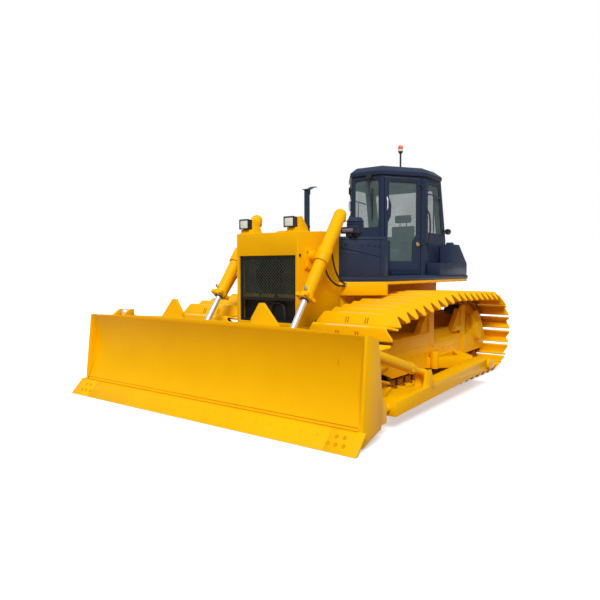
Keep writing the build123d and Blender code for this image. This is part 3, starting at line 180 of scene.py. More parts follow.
def enamel(name, colour, roughness, grime, grime_share):
    """Sprayed two-pack machine enamel: even colour, soft gloss, a faint orange peel and patches of dust."""
    material, tree, shader, place = new_finish(name, Roughness=roughness, Specular_IOR_Level=0.10)
    # Tone drifts over about 400 mm, as it does between passes of a spray gun.
    drift = add_node(tree, "ShaderNodeTexNoise", {"Scale": 2.5, "Detail": 3.0}, {"Vector": place})
    tone = add_node(tree, "ShaderNodeMapRange", {"From Min": 0.3, "From Max": 0.7}, {"Value": drift.outputs[0]})
    body = add_node(tree, "ShaderNodeMix",
                    {"data_type": "RGBA", 6: shaded(colour, 0.96), 7: shaded(colour, 1.03)},
                    {0: tone.outputs[0]})
    # Dust lies in patches of 60 mm and thins out upwards.
    patch = add_node(tree, "ShaderNodeTexNoise", {"Scale": 16.0, "Detail": 8.0, "Roughness": 0.7},
                     {"Vector": place})
    dusty = add_node(tree, "ShaderNodeMapRange", {"From Min": 0.52, "From Max": 0.78},
                     {"Value": patch.outputs[0]})
    height = add_node(tree, "ShaderNodeSeparateXYZ", {}, {0: place})
    low = add_node(tree, "ShaderNodeMapRange", {"From Min": 0.0, "From Max": 1.6, "To Min": 1.0, "To Max": 0.25},
                   {"Value": height.outputs[2]})
    share = add_node(tree, "ShaderNodeMath", {"operation": "MULTIPLY"}, {0: dusty.outputs[0], 1: low.outputs[0]})
    amount = add_node(tree, "ShaderNodeMath", {"operation": "MULTIPLY", 1: grime_share}, {0: share.outputs[0]})
    mix = add_node(tree, "ShaderNodeMix", {"data_type": "RGBA", 7: grime},
                   {0: amount.outputs[0], 6: body.outputs[2]})
    gloss = add_node(tree, "ShaderNodeMapRange", {"To Min": roughness, "To Max": min(1.0, roughness + 0.25)},
                     {"Value": amount.outputs[0]})
    # Orange peel is 2 mm across on the machine and is drawn at 14 mm, so that it shows.
    peel = add_node(tree, "ShaderNodeTexNoise", {"Scale": 70.0, "Detail": 1.0}, {"Vector": place})
    bump = add_node(tree, "ShaderNodeBump", {"Strength": 0.05, "Distance": 0.002}, {"Height": peel.outputs[0]})
    feed(tree, shader, Base_Color=mix.outputs[2], Roughness=gloss.outputs[0], Normal=bump.outputs[0])
    return material


def casting(name, colour, roughness):
    """Sand-cast iron under a film of oil: dark, with a grain of a few millimetres."""
    material, tree, shader, place = new_finish(name, Metallic=0.35)
    grain = add_node(tree, "ShaderNodeTexNoise", {"Scale": 55.0, "Detail": 6.0}, {"Vector": place})
    stain = add_node(tree, "ShaderNodeTexNoise", {"Scale": 6.0, "Detail": 4.0}, {"Vector": place})
    weathered(tree, shader, stain.outputs[0], colour, (0.5, 1.5), (roughness - 0.12, roughness + 0.12))
    bump = add_node(tree, "ShaderNodeBump", {"Strength": 0.35, "Distance": 0.003}, {"Height": grain.outputs[0]})
    feed(tree, shader, Normal=bump.outputs[0])
    return material


def hard_chrome(name):
    """Hard chrome on a ground rod: pale and satin, with fine rings left by the grinding wheel."""
    material, tree, shader, place = new_finish(name, Metallic=0.55, Base_Color=srgb("#E4E8EC"),
                                               Roughness=0.34)
    rings = add_node(tree, "ShaderNodeTexNoise", {"Scale": 90.0, "Detail": 2.0}, {"Vector": place})
    gloss = add_node(tree, "ShaderNodeMapRange", {"To Min": 0.28, "To Max": 0.42}, {"Value": rings.outputs[0]})
    bump = add_node(tree, "ShaderNodeBump", {"Strength": 0.04, "Distance": 0.001}, {"Height": rings.outputs[0]})
    feed(tree, shader, Roughness=gloss.outputs[0], Normal=bump.outputs[0])
    return material


def plated(name, colour):
    """Zinc-plated steel or brass fittings: bright, with a mottled passivated film."""
    material, tree, shader, place = new_finish(name, Metallic=1.0)
    film = add_node(tree, "ShaderNodeTexNoise", {"Scale": 40.0, "Detail": 4.0}, {"Vector": place})
    weathered(tree, shader, film.outputs[0], colour, (0.75, 1.1), (0.22, 0.47))
    return material


def moulded(name, colour, roughness, grain_scale, grain_depth):
    """Moulded rubber or polypropylene: matt, with the mould's spark grain."""
    material, tree, shader, place = new_finish(name)
    grain = add_node(tree, "ShaderNodeTexVoronoi", {"Scale": grain_scale}, {"Vector": place})
    bloom = add_node(tree, "ShaderNodeTexNoise", {"Scale": 9.0, "Detail": 5.0}, {"Vector": place})
    weathered(tree, shader, bloom.outputs[0], colour, (0.7, 1.5), (roughness - 0.1, roughness + 0.1))
    bump = add_node(tree, "ShaderNodeBump", {"Strength": 0.3, "Distance": grain_depth},
                    {"Height": grain.outputs[0]})
    feed(tree, shader, Normal=bump.outputs[0])
    return material


def safety_glass(name, colour):
    """Laminated safety glass with a green-grey tint: clear, glossy, with a trace of dust."""
    material, tree, shader, place = new_finish(name, Base_Color=colour, Roughness=0.04, IOR=1.5)
    film = add_node(tree, "ShaderNodeTexNoise", {"Scale": 3.0, "Detail": 5.0}, {"Vector": place})
    veil = add_node(tree, "ShaderNodeMapRange", {"To Min": 0.20, "To Max": 0.42}, {"Value": film.outputs[0]})
    feed(tree, shader, Alpha=veil.outputs[0])
    return material


def lens_plastic(name, colour, glow):
    """Ribbed polycarbonate lens: bright and glossy, with flutes 12 mm apart."""
    material, tree, shader, place = new_finish(name, Roughness=0.12, Emission_Color=colour,
                                               Emission_Strength=glow)
    wave = add_node(tree, "ShaderNodeTexWave", {"bands_direction": "X", "Scale": 26.0}, {"Vector": place})
    # The colour is darker in the grooves between the flutes and a little lighter on them: painted shade and
    # highlight.
    tone = add_node(tree, "ShaderNodeMix",
                    {"data_type": "RGBA", 6: shaded(colour, 0.75), 7: shaded(colour, 1.05)},
                    {0: wave.outputs[0]})
    bump = add_node(tree, "ShaderNodeBump", {"Strength": 0.5, "Distance": 0.002}, {"Height": wave.outputs[0]})
    feed(tree, shader, Base_Color=tone.outputs[2], Normal=bump.outputs[0])
    return material


def woven(name, colour):
    """Woven seat cloth: threads 1.2 mm apart, drawn at 6 mm so that they show, with a soft sheen."""
    material, tree, shader, place = new_finish(name, Roughness=0.85, Sheen_Weight=0.4)
    across, up = (add_node(tree, "ShaderNodeTexWave",
                           {"bands_direction": way, "Scale": 52.0, "Distortion": 1.0},
                           {"Vector": place}).outputs[1] for way in "XZ")
    weave = add_node(tree, "ShaderNodeMath", {"operation": "MULTIPLY"}, {0: across, 1: up})
    fade = add_node(tree, "ShaderNodeTexNoise", {"Scale": 8.0, "Detail": 4.0}, {"Vector": place})
    cloth = add_node(tree, "ShaderNodeMix",
                     {"data_type": "RGBA", 6: shaded(colour, 0.8), 7: shaded(colour, 1.2)},
                     {0: fade.outputs[0]})
    # The weave darkens the colour between the threads: painted shade.
    dark = add_node(tree, "ShaderNodeMix", {"data_type": "RGBA", "blend_type": "MULTIPLY", 0: 0.5},
                    {6: cloth.outputs[2], 7: weave.outputs[0]})
    bump = add_node(tree, "ShaderNodeBump", {"Strength": 0.5, "Distance": 0.002}, {"Height": weave.outputs[0]})
    feed(tree, shader, Base_Color=dark.outputs[2], Normal=bump.outputs[0])
    return material


def mix_finishes():
    """Every finish of the machine, by its name."""
    paint = settings("paint")
    brown = srgb("#8A5A22")
    FINISHES.update({
        "yellow": enamel("yellow_enamel", paint.yellow, 0.38, brown, 0.06),
        "track": enamel("track_enamel", paint.yellow, 0.44, brown, 0.22),
        "slate": enamel("slate_enamel", paint.slate, 0.34, srgb("#44506A"), 0.10),
        "iron": casting("oiled_casting", paint.iron, 0.55),
        "core": casting("black_radiator_core", srgb("#1A1B1D"), 0.6),
        "chrome": hard_chrome("hard_chrome"),
        "zinc": plated("zinc_plate", srgb("#C9CBCC")),
        "brass": plated("brass_lock", srgb("#C9A052")),
        "rubber": moulded("moulded_rubber", paint.rubber, 0.6, 180.0, 0.0006),
        "plastic": moulded("black_polypropylene", srgb("#1B1D22"), 0.5, 260.0, 0.0004),
        "glass": safety_glass("tinted_safety_glass", paint.glass),
        "lens": lens_plastic("lamp_lens", srgb("#E9EDE2"), 0.15),
        "amber": lens_plastic("amber_lens", paint.amber, 0.25),
        "cloth": woven("woven_seat_cloth", paint.seat),
        # Pale peach enamel for the ridge strips: painted highlight.
        "painted_ridge_highlight": enamel("ridge_highlight_enamel", srgb("#E6D09A"), 0.5, brown, 0.4),
        # The links are a darker yellow-brown than the shoes, patched with dark brown.
        "chain": enamel("dark_chain_enamel", srgb("#B8770F"), 0.55, srgb("#5A2E0E"), 0.7),
        # Yellow darkened to 0.72 for the end bits' bolts: painted shade round their heads.
        "bolt_shade": enamel("yellow_bolt_shade", shaded(paint.yellow, 0.72), 0.45, brown, 0.2),
        "dim": lens_plastic("dim_work_lens", srgb("#7C828C"), 0.0),
        "mesh": casting("grey_wire", srgb("#464B40"), 0.7),
        "ochre": enamel("ochre_enamel", srgb("#8A6D1E"), 0.6, brown, 0.5),
        # Yellow at half strength: painted shade in the hood's shut lines and the shoes' slots.
        "shadow": enamel("yellow_painted_shade", shaded(paint.yellow, 0.5), 0.5, brown, 0.3),
        # Slate at 0.4: painted shade in the cowl's creases and the tank's seams.
        "shadow_slate": enamel("slate_painted_shade", shaded(paint.slate, 0.4), 0.5, srgb("#5A5C66"), 0.2),
        # Slate made 1.7 times lighter: painted highlight on treads, window bars, screws and the cowl's strip.
        "slate_highlight": enamel("slate_painted_highlight", shaded(paint.slate, 1.7), 0.4, srgb("#6A6C74"), 0.4),
        "red": lens_plastic("rear_lens", srgb("#8E1B14"), 0.05),
    })


# Modelling helpers

def wake():
    """Object mode with nothing selected."""
    if bpy.context.mode != "OBJECT":
        bpy.ops.object.mode_set(mode="OBJECT")
    bpy.ops.object.select_all(action="DESELECT")


def choose(piece):
    """Makes one object the selected and active one."""
    wake()
    piece.select_set(True)
    bpy.context.view_layer.objects.active = piece


@contextmanager
def editing(piece):
    """Edit mode on one piece with everything selected, and object mode again after it."""
    choose(piece)
    bpy.ops.object.mode_set(mode="EDIT")
    bpy.ops.mesh.select_all(action="SELECT")
    yield
    bpy.ops.object.mode_set(mode="OBJECT")


def outward(piece):
    """Closes doubles and points every face outwards."""
    with editing(piece):
        bpy.ops.mesh.remove_doubles(threshold=0.00005)
        bpy.ops.mesh.normals_make_consistent(inside=False)


def modify(piece, kind, **values):
    """Adds a modifier to a piece and applies it."""
    choose(piece)
    modifier = piece.modifiers.new(kind.lower(), kind)
    for key, value in values.items():
        setattr(modifier, key, value)
    bpy.ops.object.modifier_apply(modifier=modifier.name)


def rounded(piece, width, segments=2):
    """Rounds a piece's sharp edges."""
    modify(piece, "BEVEL", width=width, segments=segments, limit_method="ANGLE",
           angle_limit=math.radians(BEVEL_ANGLE), harden_normals=False)


def smooth(piece, angle=35):
    """Smooth shading that keeps edges sharper than the angle."""
    choose(piece)
    bpy.ops.object.shade_smooth_by_angle(angle=math.radians(angle))


def coated(piece, finish, angle=35):
    """Gives a piece its finish and shading."""
    piece.data.materials.clear()
    piece.data.materials.append(FINISHES[finish])
    smooth(piece, angle)
    return piece


def settle(piece, finish, body=CHASSIS, slot=None, stands_for=(), angle=35):
    """Coats a finished piece and hangs it on its body."""
    coated(piece, finish, angle)
    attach(piece, body)
    if stands_for:
        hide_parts(*stands_for)
    return piece


def fitted(name, pieces, finish, body=CHASSIS, **more):
    """Several pieces joined, coated and hung on their body."""
    return settle(joined(name, pieces), finish, body, **more)


def put(piece, origin, toward):
    """Turns a piece's own Z towards a direction, moves it to a point and fixes that in its mesh."""
    turn = Vector(toward).to_track_quat("Z", "Y").to_matrix().to_4x4()
    piece.matrix_world = Matrix.Translation(Vector(origin)) @ turn
    choose(piece)
    bpy.ops.object.transform_apply(location=True, rotation=True, scale=True)
    return piece


def plate(name, corners, depth, edge=0.0):
    """A flat plate with the given corners, extruded by a vector."""
    wake()
    bpy.ops.mesh.primitive_circle_add(vertices=len(corners), fill_type="NGON")
    piece = bpy.context.object
    piece.name = name
    for vertex, corner in zip(piece.data.vertices, corners):
        vertex.co = corner
    with editing(piece):
        bpy.ops.mesh.extrude_region_move(TRANSFORM_OT_translate={"value": tuple(depth)})
    outward(piece)
    if edge:
        rounded(piece, edge)
    return piece


def block(name, low, high, edge=0.0):
    """A box between two corners with rounded edges."""
    (x0, y0, z0), (x1, y1, z1) = low, high
    corners = [(x0, y0, z0), (x1, y0, z0), (x1, y1, z0), (x0, y1, z0)]
    return plate(name, corners, (0, 0, z1 - z0), edge)


def turned(name, base, toward, steps, sides=32):
    """A turned piece: a disc drawn out along its axis through (radius, distance) steps."""
    wake()
    radius, distance = steps[0]
    bpy.ops.mesh.primitive_circle_add(vertices=sides, radius=radius, fill_type="NGON",
                                      location=(0, 0, distance))
    piece = bpy.context.object
    piece.name = name
    bpy.ops.object.transform_apply(location=True)
    with editing(piece):
        for next_radius, next_distance in steps[1:]:
            step = (0, 0, next_distance - distance)
            bpy.ops.mesh.extrude_region_move(TRANSFORM_OT_translate={"value": step})
            share = next_radius / radius
            bpy.ops.transform.resize(value=(share, share, 1), center_override=(0, 0, next_distance))
            radius, distance = next_radius, next_distance
    outward(piece)
    return put(piece, base, toward)


def tube(name, points, radius, closed=False, order=3, sides=4):
    """A round tube along a smooth path."""
    wake()
    bpy.ops.curve.primitive_nurbs_path_add()
    piece = bpy.context.object
    piece.name = name
    curve = piece.data
    curve.splines.clear()
    line = curve.splines.new("NURBS")
    line.points.add(len(points) - 1)
    for knot, point in zip(line.points, points):
        knot.co = (*point, 1.0)
    line.order_u = order
    line.use_endpoint_u = not closed
    line.use_cyclic_u = closed
    line.resolution_u = 6
    curve.bevel_depth = radius
    curve.bevel_resolution = sides
    curve.use_fill_caps = True
    bpy.ops.object.convert(target="MESH")
    piece = bpy.context.object
    outward(piece)
    return piece


def straight(start, end, radius):
    """A straight round bar between two points."""
    return tube("bar", [start, end], radius, order=2)


def joined(name, pieces):
    """Several pieces as one mesh."""
    wake()
    for piece in pieces:
        piece.select_set(True)
    bpy.context.view_layer.objects.active = pieces[0]
    if len(pieces) > 1:
        bpy.ops.object.join()
    pieces[0].name = name
    return pieces[0]


def copies(name, model, places):
    """Copies of a model, each with its own mesh, at (point, direction) places and joined; the model goes."""
    made = []
    for point, toward in places:
        twin = model.copy()
        twin.data = model.data.copy()
        bpy.context.scene.collection.objects.link(twin)
        twin.matrix_world = (Matrix.Translation(Vector(point))
                             @ Vector(toward).to_track_quat("Z", "Y").to_matrix().to_4x4())
        made.append(twin)
    bpy.data.objects.remove(model)
    piece = joined(name, made)
    choose(piece)
    bpy.ops.object.transform_apply(location=True, rotation=True, scale=True)
    return piece


def bolts(name, places, width):
    """Hexagon bolts on washers, seated at (point, outward direction) places."""
    washer = turned("washer", ORIGIN, ABOVE, [(width * 0.72, 0), (width * 0.72, width * 0.1)], 12)
    head = turned("head", ORIGIN, ABOVE,
                  [(width * 0.56, width * 0.1), (width * 0.56, width * 0.42), (width * 0.46, width * 0.5)], 6)
    return copies(name, joined("bolt", [washer, head]), places)


def both_sides(places):
    """The same (point, direction) places on both sides of the machine."""
    return places + [((-p[0], p[1], p[2]), (-d[0], d[1], d[2])) for p, d in places]


def around(centre, across, up, radius, degrees):
    """Points round a centre, at angles from one direction towards another."""
    turns = [math.radians(angle) for angle in degrees]
    return [Vector(centre) + (across * math.cos(turn) + up * math.sin(turn)) * radius for turn in turns]


def mirrored(piece):
    """The piece and its mirror image across the machine, as one mesh."""
    modify(piece, "MIRROR", use_axis=(True, False, False), use_mirror_merge=False)
    outward(piece)
    return piece


def turn_over(piece):
    """Moves a piece to the other side of the machine."""
    choose(piece)
    bpy.ops.transform.mirror(orient_type="GLOBAL", constraint_axis=(True, False, False),
                             center_override=ORIGIN)
    bpy.ops.object.transform_apply(location=True, rotation=True, scale=True)
    outward(piece)


def merged_copy(node, name):
    """A copy of a CAD node with its doubles closed and its flat faces merged; the node's own mesh stays."""
    piece = bpy.data.objects.new(name, frame["nodes"][node].data.copy())
    bpy.context.scene.collection.objects.link(piece)
    outward(piece)
    with editing(piece):
        bpy.ops.mesh.dissolve_limited(angle_limit=math.radians(1.0), delimit={"NORMAL"})
    return piece


def dressed(node, finish, edge):
    """A merged copy of a CAD node with rounded edges, in its place."""
    piece = merged_copy(node, node + "_skin")
    if edge:
        rounded(piece, edge)
    slot = next(s["material_slot"] for s in frame["record"]["subparts"] if s["node"] == node)
    return settle(piece, finish, frame["nodes"][node]["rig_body"], slot, (node,))


def painted(node, finish):
    """A CAD node whose shape is right, with its finish."""
    materials = frame["nodes"][node].data.materials
    materials.clear()
    materials.append(FINISHES[finish])


PLAIN = {
    "yellow": ["main_frame", "belly_guard", "transmission_case", "drawbar", "track_frame_left",
               "track_frame_right", "sprockets", "hood", "fenders", "lift_brackets", "blade", "cutting_edge",
               "end_bits", "push_arm_left", "push_arm_right", "brace", "tilt_barrel", "lift_barrel_left",
               "lift_barrel_right"],
    "slate": ["cowl", "deck", "fuel_tank", "cab_shell", "cab_roof", "door_left", "door_right",
              "air_intake"],
}
AS_PACKED = {
    "iron": ["idlers", "track_rollers", "carrier_rollers", "engine_block"],
    "core": ["radiator_core", "grille"],
    "chrome": ["tilt_rod", "lift_rod_left", "lift_rod_right"],
    "plastic": ["console"],
    "glass": ["cab_glass", "door_glass_left", "door_glass_right"],
    "cloth": ["seat"],
    "amber": ["beacon"],
}


class DOZER_OT_paint(bpy.types.Operator):
    """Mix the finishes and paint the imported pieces"""
    bl_idname = "dozer.paint"
    bl_label = "Paint"

    def execute(self, context):
        mix_finishes()
        for finish, nodes in AS_PACKED.items():
            for node in nodes:
                painted(node, finish)
        for finish, nodes in PLAIN.items():
            for node in nodes:
                dressed(node, finish, settings("sheet").edge)
        return {"FINISHED"}


# Blade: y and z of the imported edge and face

EDGE_TIP = (-2.631, 0.004)
EDGE_JOINT = (-2.476, 0.175)
EDGE_BOLT_PITCH = 0.18
BIT_OUTER = 2.075
FACE_FOOT = (-2.452, 0.200)
FACE_HEAD = (-2.379, 0.958)
FACE_CENTRE = (-3.2299, 0.6437)
FACE_RADIUS = 0.9124
FACE_OFF = 0.009
FACE_STEPS = 28
SHEET_THICK = 0.008
END_PLATE = 0.036
WELD = 0.006


def on_edge(x, share):
    """A point on the cutting edge's sloping face and the face's outward direction."""
    dy, dz = EDGE_JOINT[0] - EDGE_TIP[0], EDGE_JOINT[1] - EDGE_TIP[1]
    run = math.hypot(dy, dz)
    return (x, EDGE_TIP[0] + dy * share, EDGE_TIP[1] + dz * share), (0, -dz / run, dy / run)


def plough_bolts(name, places):
    """Flush plough bolts with a slightly dished head."""
    steps = [(0.020, -0.004), (0.020, 0.0012), (0.017, 0.0022), (0.015, 0.0010)]
    return copies(name, turned("head", ORIGIN, ABOVE, steps, 20), places)


class DOZER_OT_blade_irons(bpy.types.Operator):
    """Add the blade's face sheet, the bolts of its edge and end bits, and its weld seams"""
    bl_idname = "dozer.blade_irons"
    bl_label = "Blade irons"

    def execute(self, context):
        row = [on_edge((i - 9) * EDGE_BOLT_PITCH, 0.58) for i in range(19)]
        settle(plough_bolts("edge_bolts", row), "yellow", "blade")
        bits = [on_edge(BIT_OUTER - x, 0.66) for x in (0.175, 0.255)]
        bits += [on_edge(BIT_OUTER - x, 0.34) for x in (0.155, 0.235, 0.315)]
        # The end bits' bolts are in the darkened yellow: painted shade.
        settle(plough_bolts("bit_bolts", both_sides(bits)), "bolt_shade", "blade")
        self.face()
        self.seams()
        return {"FINISHED"}

    def face(self):
        """The moldboard's rolled face sheet, one smooth curve from the edge to the top."""
        low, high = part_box("blade")
        y0, z0 = FACE_CENTRE
        start, end = (math.atan2(z - z0, y - y0) for y, z in (FACE_FOOT, FACE_HEAD))
        turns = [start + (end - start) * i / FACE_STEPS for i in range(FACE_STEPS + 1)]
        reach = FACE_RADIUS - FACE_OFF
        front = [(y0 + math.cos(turn) * reach, z0 + math.sin(turn) * reach) for turn in turns]
        back = [(y + SHEET_THICK, z) for y, z in reversed(front)]
        sheet = plate("blade_face", [(low[0] + END_PLATE, y, z) for y, z in front + back],
                      (high[0] - low[0] - 2 * END_PLATE, 0, 0))
        settle(sheet, "yellow", "blade", angle=40)

    def seams(self):
        """Fillet welds where the moldboard meets its end plates, its edge and the ears behind it."""
        low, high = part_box("blade")
        arc = [(-2.466, 0.17), (-2.385, 0.33), (-2.334, 0.50), (-2.326, 0.62), (-2.342, 0.80),
               (-2.372, 0.955)]
        beads = [tube("bead", [(side * (high[0] - END_PLATE), y - 0.002, z) for y, z in arc], WELD)
                 for side in (-1, 1)]
        beads.append(straight((low[0] + 0.03, -2.481, 0.181), (high[0] - 0.03, -2.481, 0.181), WELD))
        beads += [straight((x, -2.19, 0.30), (x, -2.19, 0.66), 0.007) for x in (-0.738, -0.606, 0.606, 0.738)]
        fitted("blade_welds", beads, "yellow", "blade")


# Tracks: a shoe's heights are measured from its chain line

WHEELS = {"sprocket": 0.440, "idler": 0.375}
RUN_PINS = [(1.500, 1.055), (0.420, 1.085)]
TRACK_X = 1.150
SHOES = 42
SHOE_HALF = 0.093
SHOE_RIDGE = 0.017
SHOE_FLOOR = 0.034
SHOE_SEAT = 0.052
SHOE_TIP = 0.157
SHOE_WALL = 0.022
SHOE_END = 0.55
PIN_HALF = 0.1016
ARC_STEPS = 60


def wheel_centre(node):
    """A wheel's centre as (y, z)."""
    low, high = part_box(node)
    return (low[1] + high[1]) / 2, (low[2] + high[2]) / 2


def tangent_angle(centre, radius, point, side):
    """The angle on a wheel where a straight run from a point touches it."""
    dy, dz = point[0] - centre[0], point[1] - centre[1]
    return math.atan2(dz, dy) + side * math.acos(radius / math.hypot(dy, dz))


def wheel_arc(centre, radius, start, end):
    """Points along a wheel's rim between two angles."""
    turns = [start + (end - start) * i / ARC_STEPS for i in range(ARC_STEPS + 1)]
    return [(centre[0] + radius * math.cos(turn), centre[1] + radius * math.sin(turn)) for turn in turns]


def chain_pins():
    """The places of the chain's pins, evenly spaced round its loop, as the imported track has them."""
    back, front = wheel_centre("sprockets"), wheel_centre("idlers")
    leave = tangent_angle(back, WHEELS["sprocket"], RUN_PINS[0], -1)
    meet = tangent_angle(front, WHEELS["idler"], RUN_PINS[1], 1)
    line = [(front[0], SHOE_TIP), (back[0], SHOE_TIP)]
    line += wheel_arc(back, WHEELS["sprocket"], -math.pi / 2, leave)
    line += RUN_PINS
    line += wheel_arc(front, WHEELS["idler"], meet, 3 * math.pi / 2)
    spans = [math.dist(a, b) for a, b in zip(line, line[1:])]
    pins, travelled, leg = [], 0.0, 0
    for i in range(SHOES):
        goal = i * sum(spans) / SHOES
        while travelled + spans[leg] < goal:
            travelled += spans[leg]
            leg += 1
        share = (goal - travelled) / spans[leg]
        pins.append(tuple(a + (b - a) * share for a, b in zip(line[leg], line[leg + 1])))
    return pins


def links(pins):
    """Each link's middle and outward direction, as (y, z)."""
    made = []
    for (ay, az), (by, bz) in zip(pins, pins[1:] + pins[:1]):
        run = math.dist((ay, az), (by, bz))
        made.append((((ay + by) / 2, (az + bz) / 2), ((bz - az) / run, (ay - by) / run)))
    return made


class DOZER_OT_track_irons(bpy.types.Operator):
    """Build both tracks: hollow tent shoes, link plates, bosses, pins, slots and pale painted highlights on the
    ridges
    """
    bl_idname = "dozer.track_irons"
    bl_label = "Tracks"

    def execute(self, context):
        pins = chain_pins()
        at_links = [((side * TRACK_X, y, z), (0, *out)) for (y, z), out in links(pins) for side in (-1, 1)]
        at_pins = [((side * TRACK_X, y, z), LEFTWARD) for y, z in pins for side in (-1, 1)]
        settle(copies("track_shoes", self.shoe(), at_links), "track",
               stands_for=("track_left", "track_right"))
        settle(copies("track_links", self.link(), at_links), "chain")
        steps = [(0.020, -0.107), (0.025, -0.104), (0.025, 0.104), (0.020, 0.107)]
        rods = copies("track_pins", turned("pin", ORIGIN, ABOVE, steps, 14), at_pins)
        settle(rods, "iron", slot="track_paint")
        # The slots are thin plates in the half-strength yellow: painted shade.
        settle(copies("shoe_slots", self.slots(), at_links), "shadow", slot="track_paint")
        # Pale strips of painted highlight go only on the ridges of the front shoes of the upper run.
        front = [(point, out) for point, out in at_links if out[2] > 0.3 and point[1] < 0.45]
        settle(copies("ridge_highlight_strips", self.ridge_highlight(), front), "painted_ridge_highlight")
        return {"FINISHED"}

    def shoe(self):
        """One swamp shoe: a hollow tent with slanting ends."""
        outer = [(-SHOE_HALF, SHOE_FLOOR), (-SHOE_HALF, SHOE_SEAT), (-SHOE_RIDGE, SHOE_TIP),
                 (SHOE_RIDGE, SHOE_TIP), (SHOE_HALF, SHOE_SEAT), (SHOE_HALF, SHOE_FLOOR)]
        inner = [(SHOE_HALF - SHOE_WALL, SHOE_FLOOR), (0.012, SHOE_TIP - 0.026), (-0.012, SHOE_TIP - 0.026),
                 (SHOE_WALL - SHOE_HALF, SHOE_FLOOR)]
        piece = plate("shoe", [(-SHOE_END, y, z) for y, z in outer + inner], (2 * SHOE_END, 0, 0))
        for side in (-1, 1):
            with editing(piece):
                bpy.ops.mesh.bisect(plane_co=(side * SHOE_END, 0, SHOE_SEAT),
                                    plane_no=(side * 0.105, 0, 0.085), use_fill=True, clear_outer=True)
        outward(piece)
        rounded(piece, 0.004, 1)
        return piece

    def link(self):
        """One link of the chain: two side plates with a boss at each pin and the shoe's bolts."""
        outline = [(-0.100, -0.030), (-0.070, -0.042), (0.070, -0.042), (0.100, -0.030), (0.100, 0.020),
                   (0.080, 0.034), (0.020, 0.034), (0.0, 0.014), (-0.020, 0.034), (-0.080, 0.034),
                   (-0.100, 0.020)]
        pieces = []
        for x in (-0.095, 0.045):
            pieces.append(plate("plate", [(x, y, z) for y, z in outline], (0.050, 0, 0), 0.004))
            pieces += [turned("boss", (x - 0.004, y, 0), LEFTWARD, [(0.036, 0), (0.036, 0.058)], 16)
                       for y in (-PIN_HALF, PIN_HALF)]
        heads = [((x, y, 0.036), (0, 0, -1)) for x in (-0.12, 0.12) for y in (-0.05, 0.05)]
        pieces.append(bolts("nuts", heads, 0.026))
        return joined("link", pieces)

    def slots(self):
        """Thin dark plates for the access slots beside the bolts, on both slopes of a shoe: painted shade in the
        slots.
        """
        made = []
        for face in (-1, 1):
            foot, head = (face * 0.0850, 0.0615), (face * 0.0440, 0.1172)
            for x in (-0.142, -0.112, 0.112, 0.142):
                corners = [(x - 0.008, *foot), (x + 0.008, *foot), (x + 0.008, *head), (x - 0.008, *head)]
                made.append(plate("slot", corners, (0, face * 0.0027, 0.0021)))
        return joined("slots", made)

    def ridge_highlight(self):
        """A pale strip along a shoe's ridge: a painted highlight."""
        low = SHOE_TIP - 0.004
        corners = [(-0.30, -0.003, low), (-0.22, -0.007, low), (0.20, -0.008, low), (0.29, -0.003, low),
                   (0.24, 0.005, low), (-0.25, 0.006, low)]
        return plate("strip", corners, (0, 0, 0.0045))


# Track frames

BEAM_SIDE = TRACK_X + 0.165
HUB_FACE = TRACK_X + 0.190
HUB = (1.967, 0.597)
TRUNNION = (0.754, 0.300)
TRUNNION_FACE = 1.990


class DOZER_OT_frame_irons(bpy.types.Operator):
    """Add the bolts and seams of the track frames and the caps of the push arms"""
    bl_idname = "dozer.frame_irons"
    bl_label = "Track frame irons"

    def execute(self, context):
        row = [((BEAM_SIDE, -0.35 + i * 0.19, 0.455), LEFTWARD) for i in range(9)]
        row += [((BEAM_SIDE, y + dy, 0.52), LEFTWARD) for y in (0.42, 1.50) for dy in (-0.045, 0.045)]
        settle(bolts("frame_bolts", both_sides(row), 0.026), "yellow")
        rim = around((HUB_FACE, *HUB), REARWARD, ABOVE, 0.215, range(30, 151, 20))
        settle(bolts("hub_bolts", both_sides([(point, LEFTWARD) for point in rim]), 0.024), "yellow")
        cap = turned("cap", (TRUNNION_FACE, *TRUNNION), LEFTWARD,
                     [(0.078, 0), (0.078, 0.008), (0.066, 0.016), (0.03, 0.018)])
        pins = around((TRUNNION_FACE + 0.010, *TRUNNION), REARWARD, ABOVE, 0.05, range(45, 316, 90))
        settle(mirrored(cap), "yellow").name = "trunnion_caps"
        settle(bolts("trunnion_bolts", both_sides([(point, LEFTWARD) for point in pins]), 0.020), "zinc",
               slot="yellow_paint")
        seams = [straight((BEAM_SIDE, -0.55, 0.545), (BEAM_SIDE, 1.45, 0.545), 0.004),
                 straight((BEAM_SIDE, 0.37, 0.49), (BEAM_SIDE, 0.37, 0.62), 0.004)]
        settle(mirrored(joined("frame_seams", seams)), "yellow")
        return {"FINISHED"}


# Lift cylinders

YOKE = Vector((0.672, -1.130, 1.682))
LIFT = Vector((0.0, -0.846, -1.198)).normalized()
BACK = LEFTWARD.cross(LIFT)
BARREL_END = 0.598


def on_lift(distance, back=0.0):
    """A point on or behind the left lift cylinder's axis, that far from its yoke towards the blade."""
    return YOKE + LIFT * distance + BACK * back


